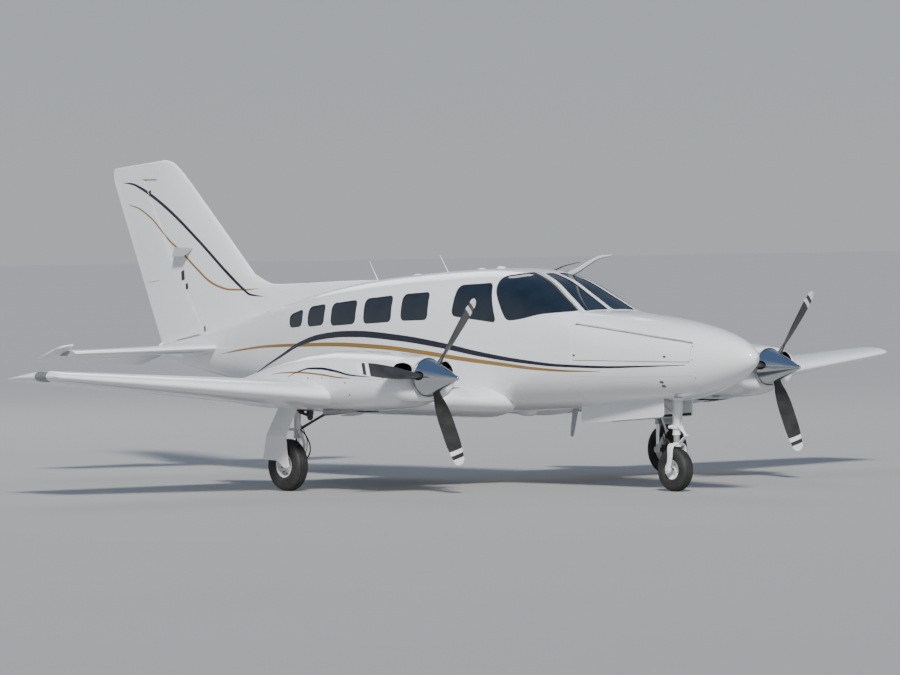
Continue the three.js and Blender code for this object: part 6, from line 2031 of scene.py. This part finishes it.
def make_bands():
    hull, fin = both_places(), both_places(tail_y)
    rear, front, gap = DOOR["rear"], DOOR["front"], DOOR["gap"]
    for rows, finish, name, lift in (
        (FUSELAGE_GOLD, gold_paint, "gold", 4.0), (FUSELAGE_NAVY, navy_paint, "navy", 4.6),
    ):
        piece("band_hull_right_" + name, band(rows, hull[-1], lift, count=340), finish, crease=50)
        parts = [
            band(rows, hull[1], lift, high=rear - gap - 2), band(rows, hull[1], lift, low=front + gap + 2),
        ]
        piece("band_hull_left_" + name, together(*parts), finish, crease=50)
        split = DOOR["split"]
        reach = front - 2
        if name == "navy":
            table = np.array(rows, float)
            stations = np.linspace(rear + 2, front - 2, 200)
            middle, half = np.moveaxis(through(table, stations), -1, 0)
            reach = stations[middle - half < split - 3].max()
            upper = band(
                rows, hull[1], lift - SKIN_PROUD, rear + 2, front - 2, floor=split + DOOR["split_gap"] + 1,
            )
            piece("band_door_upper", upper, finish, "door_upper", 50)
        lower = band(rows, hull[1], lift - SKIN_PROUD, rear + 2, reach, ceiling=split - 1)
        piece("band_door_lower_" + name, lower, finish, "door_lower", 50)
    for rows, finish, name, lift in (
        (NACELLE_GOLD, gold_paint, "gold", 1.0), (NACELLE_NAVY, navy_paint, "navy", 1.6),
    ):
        parts = [band(rows, lambda x, z, d, side=side: on_nacelle(x, z, d, side), lift) for side in (1, -1)]
        both_sides("band_nacelle_" + name, together(*parts), finish, crease=50)
    for rows, finish, name, lift in (
        (FIN_GOLD, gold_paint, "gold", 0.9), (FIN_NAVY, navy_paint, "navy", 1.3),
    ):
        ahead = [band(rows, fin[side], lift, low=lambda z: rudder_edge(z) + 9, count=300) for side in (1, -1)]
        aft = [band(rows, fin[side], lift, high=lambda z: rudder_edge(z) - 1, count=160) for side in (1, -1)]
        piece("band_fin_" + name, together(*ahead), finish, crease=50)
        piece("band_rudder_" + name, together(*aft), finish, "rudder_body", 50)


# Seams, vents and marks on the skin

def seam_line(points, place, wide=3.0, proud=0.5, count=60):
    """A dark hairline along points of a surface: a shallow strip that stands a little proud."""
    points = np.asarray(points, float)
    along = lengths_along(points)
    line = np.stack(
        [np.interp(np.linspace(0, along[-1], count), along, points[:, k]) for k in range(2)], axis=-1,
    )
    step = np.gradient(line, axis=0)
    normal = np.stack([-step[:, 1], step[:, 0]], axis=-1) / np.linalg.norm(step, axis=1, keepdims=True)
    edges = [line + normal * wide / 2, line - normal * wide / 2]
    rows = [
        place(e[:, 0], e[:, 1], np.full(count, d))
        for e, d in zip((*edges, *edges[::-1]), (-proud, -proud, 1.5, 1.5))
    ]
    return ring_body(np.stack(rows, axis=1))


def spot(x, z, radius, place, proud=1.0):
    """A low round head on a surface."""
    turn = whole_turn(24)
    rings = [(1.0, 1.0), (1.0, -proud * 0.7), (0.7, -proud), (0.02, -proud * 1.1)]
    rows = [
        place(x + radius * r * np.cos(turn), z + radius * r * np.sin(turn), np.full(24, d))
        for r, d in rings
    ]
    return ring_body(np.stack(rows))


def ring_of(station, low, high, surface_top, count=80):
    """A seam round the hull at a station, over the crown, from one height on a side to the same on the
    other."""
    section = hull_section(np.array([float(station)]))
    half, belly, widest, crown, upper, lower = (float(v[0]) for v in section)
    turn = np.linspace(math.radians(low), math.radians(high), count)
    c, s = np.cos(turn), np.sin(turn)
    up = s >= 0
    rise = np.where(up, crown - widest, widest - belly)
    power = np.where(up, upper, lower)
    radius = ((np.abs(c) / half) ** power + (np.abs(s) / rise) ** power) ** (-1 / power)
    lift = (radius + SKIN_PROUD + surface_top) / radius
    deep = (radius + SKIN_PROUD - 1.5) / radius
    rows = []
    for x, share in (
        (station - 1.4, lift), (station + 1.4, lift), (station + 1.4, deep), (station - 1.4, deep),
    ):
        rows.append(
            np.stack([np.full(count, float(x)), radius * share * c, widest + radius * share * s], axis=-1)
        )
    return ring_body(np.stack(rows, axis=1))


def make_marks():
    hull, fin = both_places(lift=SKIN_PROUD), both_places(tail_y)
    cowl = {side: (lambda x, z, d, side=side: on_nacelle(x, z, d, side)) for side in (1, -1)}
    lines, dots, rivets = [], [], []
    lines += [ring_of(station, 0, 180, 0.35) for station in (-3000, -2250)]
    lines += [ring_of(station, 194, 346, 0.35) for station in (-1640, 510, 1240, 2420, 3275)]
    for side in (1, -1):
        lines.append(seam_line([(-2514, 1740), (-1870, 1790), (-1640, 1800)], hull[side], 2.5, 0.35))
        lines.append(seam_line([(3290, 1200), (4100, 1206), (4905, 1230)], hull[side], 2.5, 0.35))
        for x, z in ((4896, 1531), (4905, 1394), (4905, 1207)):
            dots.append(spot(x, z, 6, hull[side], 1.2))
        rivets += [spot(x, 1216, 3.0, hull[side], 0.8) for x in np.arange(3330, 4880, 62)]
        for station in (-3000, -2250):
            heights = np.linspace(1180, hull_section(np.array([float(station)]))[3][0] - 60, 12)
            rivets += [spot(station + 16, z, 3.0, hull[side], 0.8) for z in heights]
    piece("hull_seams", together(*lines), soft_seam_and_gap_shade)
    piece("hull_rivets", together(*rivets), white_paint)
    piece("nose_fasteners", together(*dots), dark_seam_and_shade)
    vents = []
    for z in (1159, 1117):
        outline = rounded([[4458, z - 13], [4506, z - 13], [4506, z + 13], [4458, z + 13]], 12, 40)
        vents.append(side_panel(outline, -SKIN_PROUD - 1.0, 0.0, -1, rings=4))
    piece("nose_vents", together(*vents), dark_seam_and_shade)
    pitots = []
    for side in (1, -1):
        x, z = 4546.0, 1030.0
        y = float(skin_y(x, z))
        path = curve_through(
            [(x, y - 8, z), (x, y + 26, z - 22), (x + 18, y + 34, z - 30), (x + 120, y + 34, z - 30)], 40,
        )
        path[:, 1] *= side
        pitots.append(tube(path, np.interp(np.arange(40), [0, 18, 39], [13, 9, 7]), 24))
    piece("pitot_heads", together(*pitots), bare_steel, "airframe")

    cowl_lines, cowl_dots = [], []
    for side in (1, -1):
        cowl_lines.append(seam_line([(2075, 1215), (2940, 1215)], cowl[side], 3.0, 0.4))
        cowl_lines.append(seam_line([(2070, 900), (2070, 1440)], cowl[side], 3.0, 0.4))
        for x, z in ((1682, 1210), (1924, 1215), (2049, 1290), (2309, 1170), (2901, 1232), (2364, 1045)):
            cowl_dots.append(spot(x, z, 9, cowl[side], 1.2))
    both_sides("cowl_seams", together(*cowl_lines), soft_seam_and_gap_shade)
    both_sides("cowl_latches", together(*cowl_dots), dark_metal)

    # On the rudder: the tab's end, the lower edge of the horn, and the foot.
    tab, knobs, clips = [], [], []
    for side in (1, -1):
        tab.append(seam_line([(-4888, 2122), (-4658, 2147)], fin[side], 6.0, 0.5))
        tab.append(seam_line([(-4960, 3307), (-4682, 3307)], fin[side], 10.0, 0.5))
        tab.append(seam_line([(-4330, 1463), (-3880, 1536)], fin[side], 9.0, 0.5))
        knobs.append(spot(-4200, 2259, 10, fin[side], 4.0))
        for z, wide, tall in ((3150, 22, 40), (2210, 34, 62), (2085, 26, 40), (1575, 16, 66)):
            x = float(rudder_edge(z)) + 14 + wide
            corners = [
                [x - wide + 6, z - tall], [x + wide, z - tall + 14], [x + wide - 6, z + tall],
                [x - wide, z + tall - 14],
            ]
            clips.append(side_panel(rounded(corners, 8, 48), -2.6, 2.0, side, tail_y, 4))
    piece("rudder_tab_lines", together(*tab), dark_seam_and_shade, "rudder_body")
    piece("fin_fittings", together(*knobs), gear_paint)
    piece("fin_hinge_clips", together(*clips), dark_metal, "airframe")
    lamp = lathe([(0, 0), (17, 0), (16, 16), (10, 27), (0, 31)], (0, 0, 0), "x", 40)
    turned = (lamp[0] * (-1, 1, 1) + (-4662, 0, 1358), [face[::-1] for face in lamp[1]])
    piece("tail_lamp", turned, lamp_glass, "airframe")


make_fittings()
make_bands()
make_marks()


# Stage

def plain_floor():
    """A wide pale floor, and nothing upright behind the aircraft."""
    mesh = bpy.data.meshes.new("ground")
    reach = 160.0
    mesh.from_pydata(
        [(-reach, -reach, 0), (reach, -reach, 0), (reach, reach, 0), (-reach, reach, 0)], [], [(0, 1, 2, 3)],
    )
    ground = bpy.data.objects.new("ground", mesh)
    bpy.context.scene.collection.objects.link(ground)
    mesh.materials.append(
        finish_of("ground", (0.36, 0.36, 0.355), (0.31, 0.31, 0.305), 0.12, 0.8, broad=0.25, fine=3.0)
    )


def aim_lamp(lamp, place, target):
    lamp.location = place
    down = np.asarray(target, float) - np.asarray(place, float)
    down /= np.linalg.norm(down)
    side = np.cross(down, (0.0, 0.0, 1.0))
    side /= np.linalg.norm(side)
    turn = np.stack([side, np.cross(side, down), -down], axis=1)
    lamp.rotation_mode = "QUATERNION"
    lamp.rotation_quaternion = Matrix(turn.tolist()).to_quaternion()
    bpy.context.scene.collection.objects.link(lamp)


def soft_light(name, place, target, size, power):
    lamp = bpy.data.objects.new(name, bpy.data.lights.new(name, "AREA"))
    lamp.data.shape = "DISK"
    lamp.data.size = size
    lamp.data.energy = power
    aim_lamp(lamp, place, target)


def broad_light(name, place, target, spread, strength, tint):
    """A far light that falls evenly on the whole floor. Its spread in degrees softens the shadows."""
    lamp = bpy.data.objects.new(name, bpy.data.lights.new(name, "SUN"))
    lamp.data.angle = math.radians(spread)
    lamp.data.energy = strength
    lamp.data.color = tint
    aim_lamp(lamp, place, target)


def set_world():
    """A pale studio sky: white at the horizon, cooler and deeper overhead, and dim below."""
    world = bpy.data.worlds.new("studio")
    world.use_nodes = True
    nodes, links = world.node_tree.nodes, world.node_tree.links
    where = nodes.new("ShaderNodeTexCoord")
    parts = nodes.new("ShaderNodeSeparateXYZ")
    links.new(where.outputs["Generated"], parts.inputs[0])
    ramp = nodes.new("ShaderNodeValToRGB")
    ramp.color_ramp.elements[0].position = 0.0
    ramp.color_ramp.elements[0].color = (0.82, 0.86, 0.9, 1)
    ramp.color_ramp.elements[1].position = 0.75
    ramp.color_ramp.elements[1].color = (0.2, 0.33, 0.6, 1)
    links.new(parts.outputs["Z"], ramp.inputs["Fac"])
    links.new(ramp.outputs["Color"], nodes["Background"].inputs["Color"])
    nodes["Background"].inputs["Strength"].default_value = 0.55
    bpy.context.scene.world = world


# The nose section keeps its own solid, and only gets a finish.
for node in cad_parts.values():
    if not node.hide_render:
        node.data.materials.clear()
        node.data.materials.append(gear_paint)

plain_floor()
broad_light("key", (20, -15, 21), (0, 0, 1.2), 9, 4.9, (1, 0.975, 0.93))
soft_light("fill", (24, 14, 12), (1, 0, 1.2), 12, 600)
soft_light("rear", (-20, 10, 16), (-1, 0, 1.5), 12, 1100)
set_world()
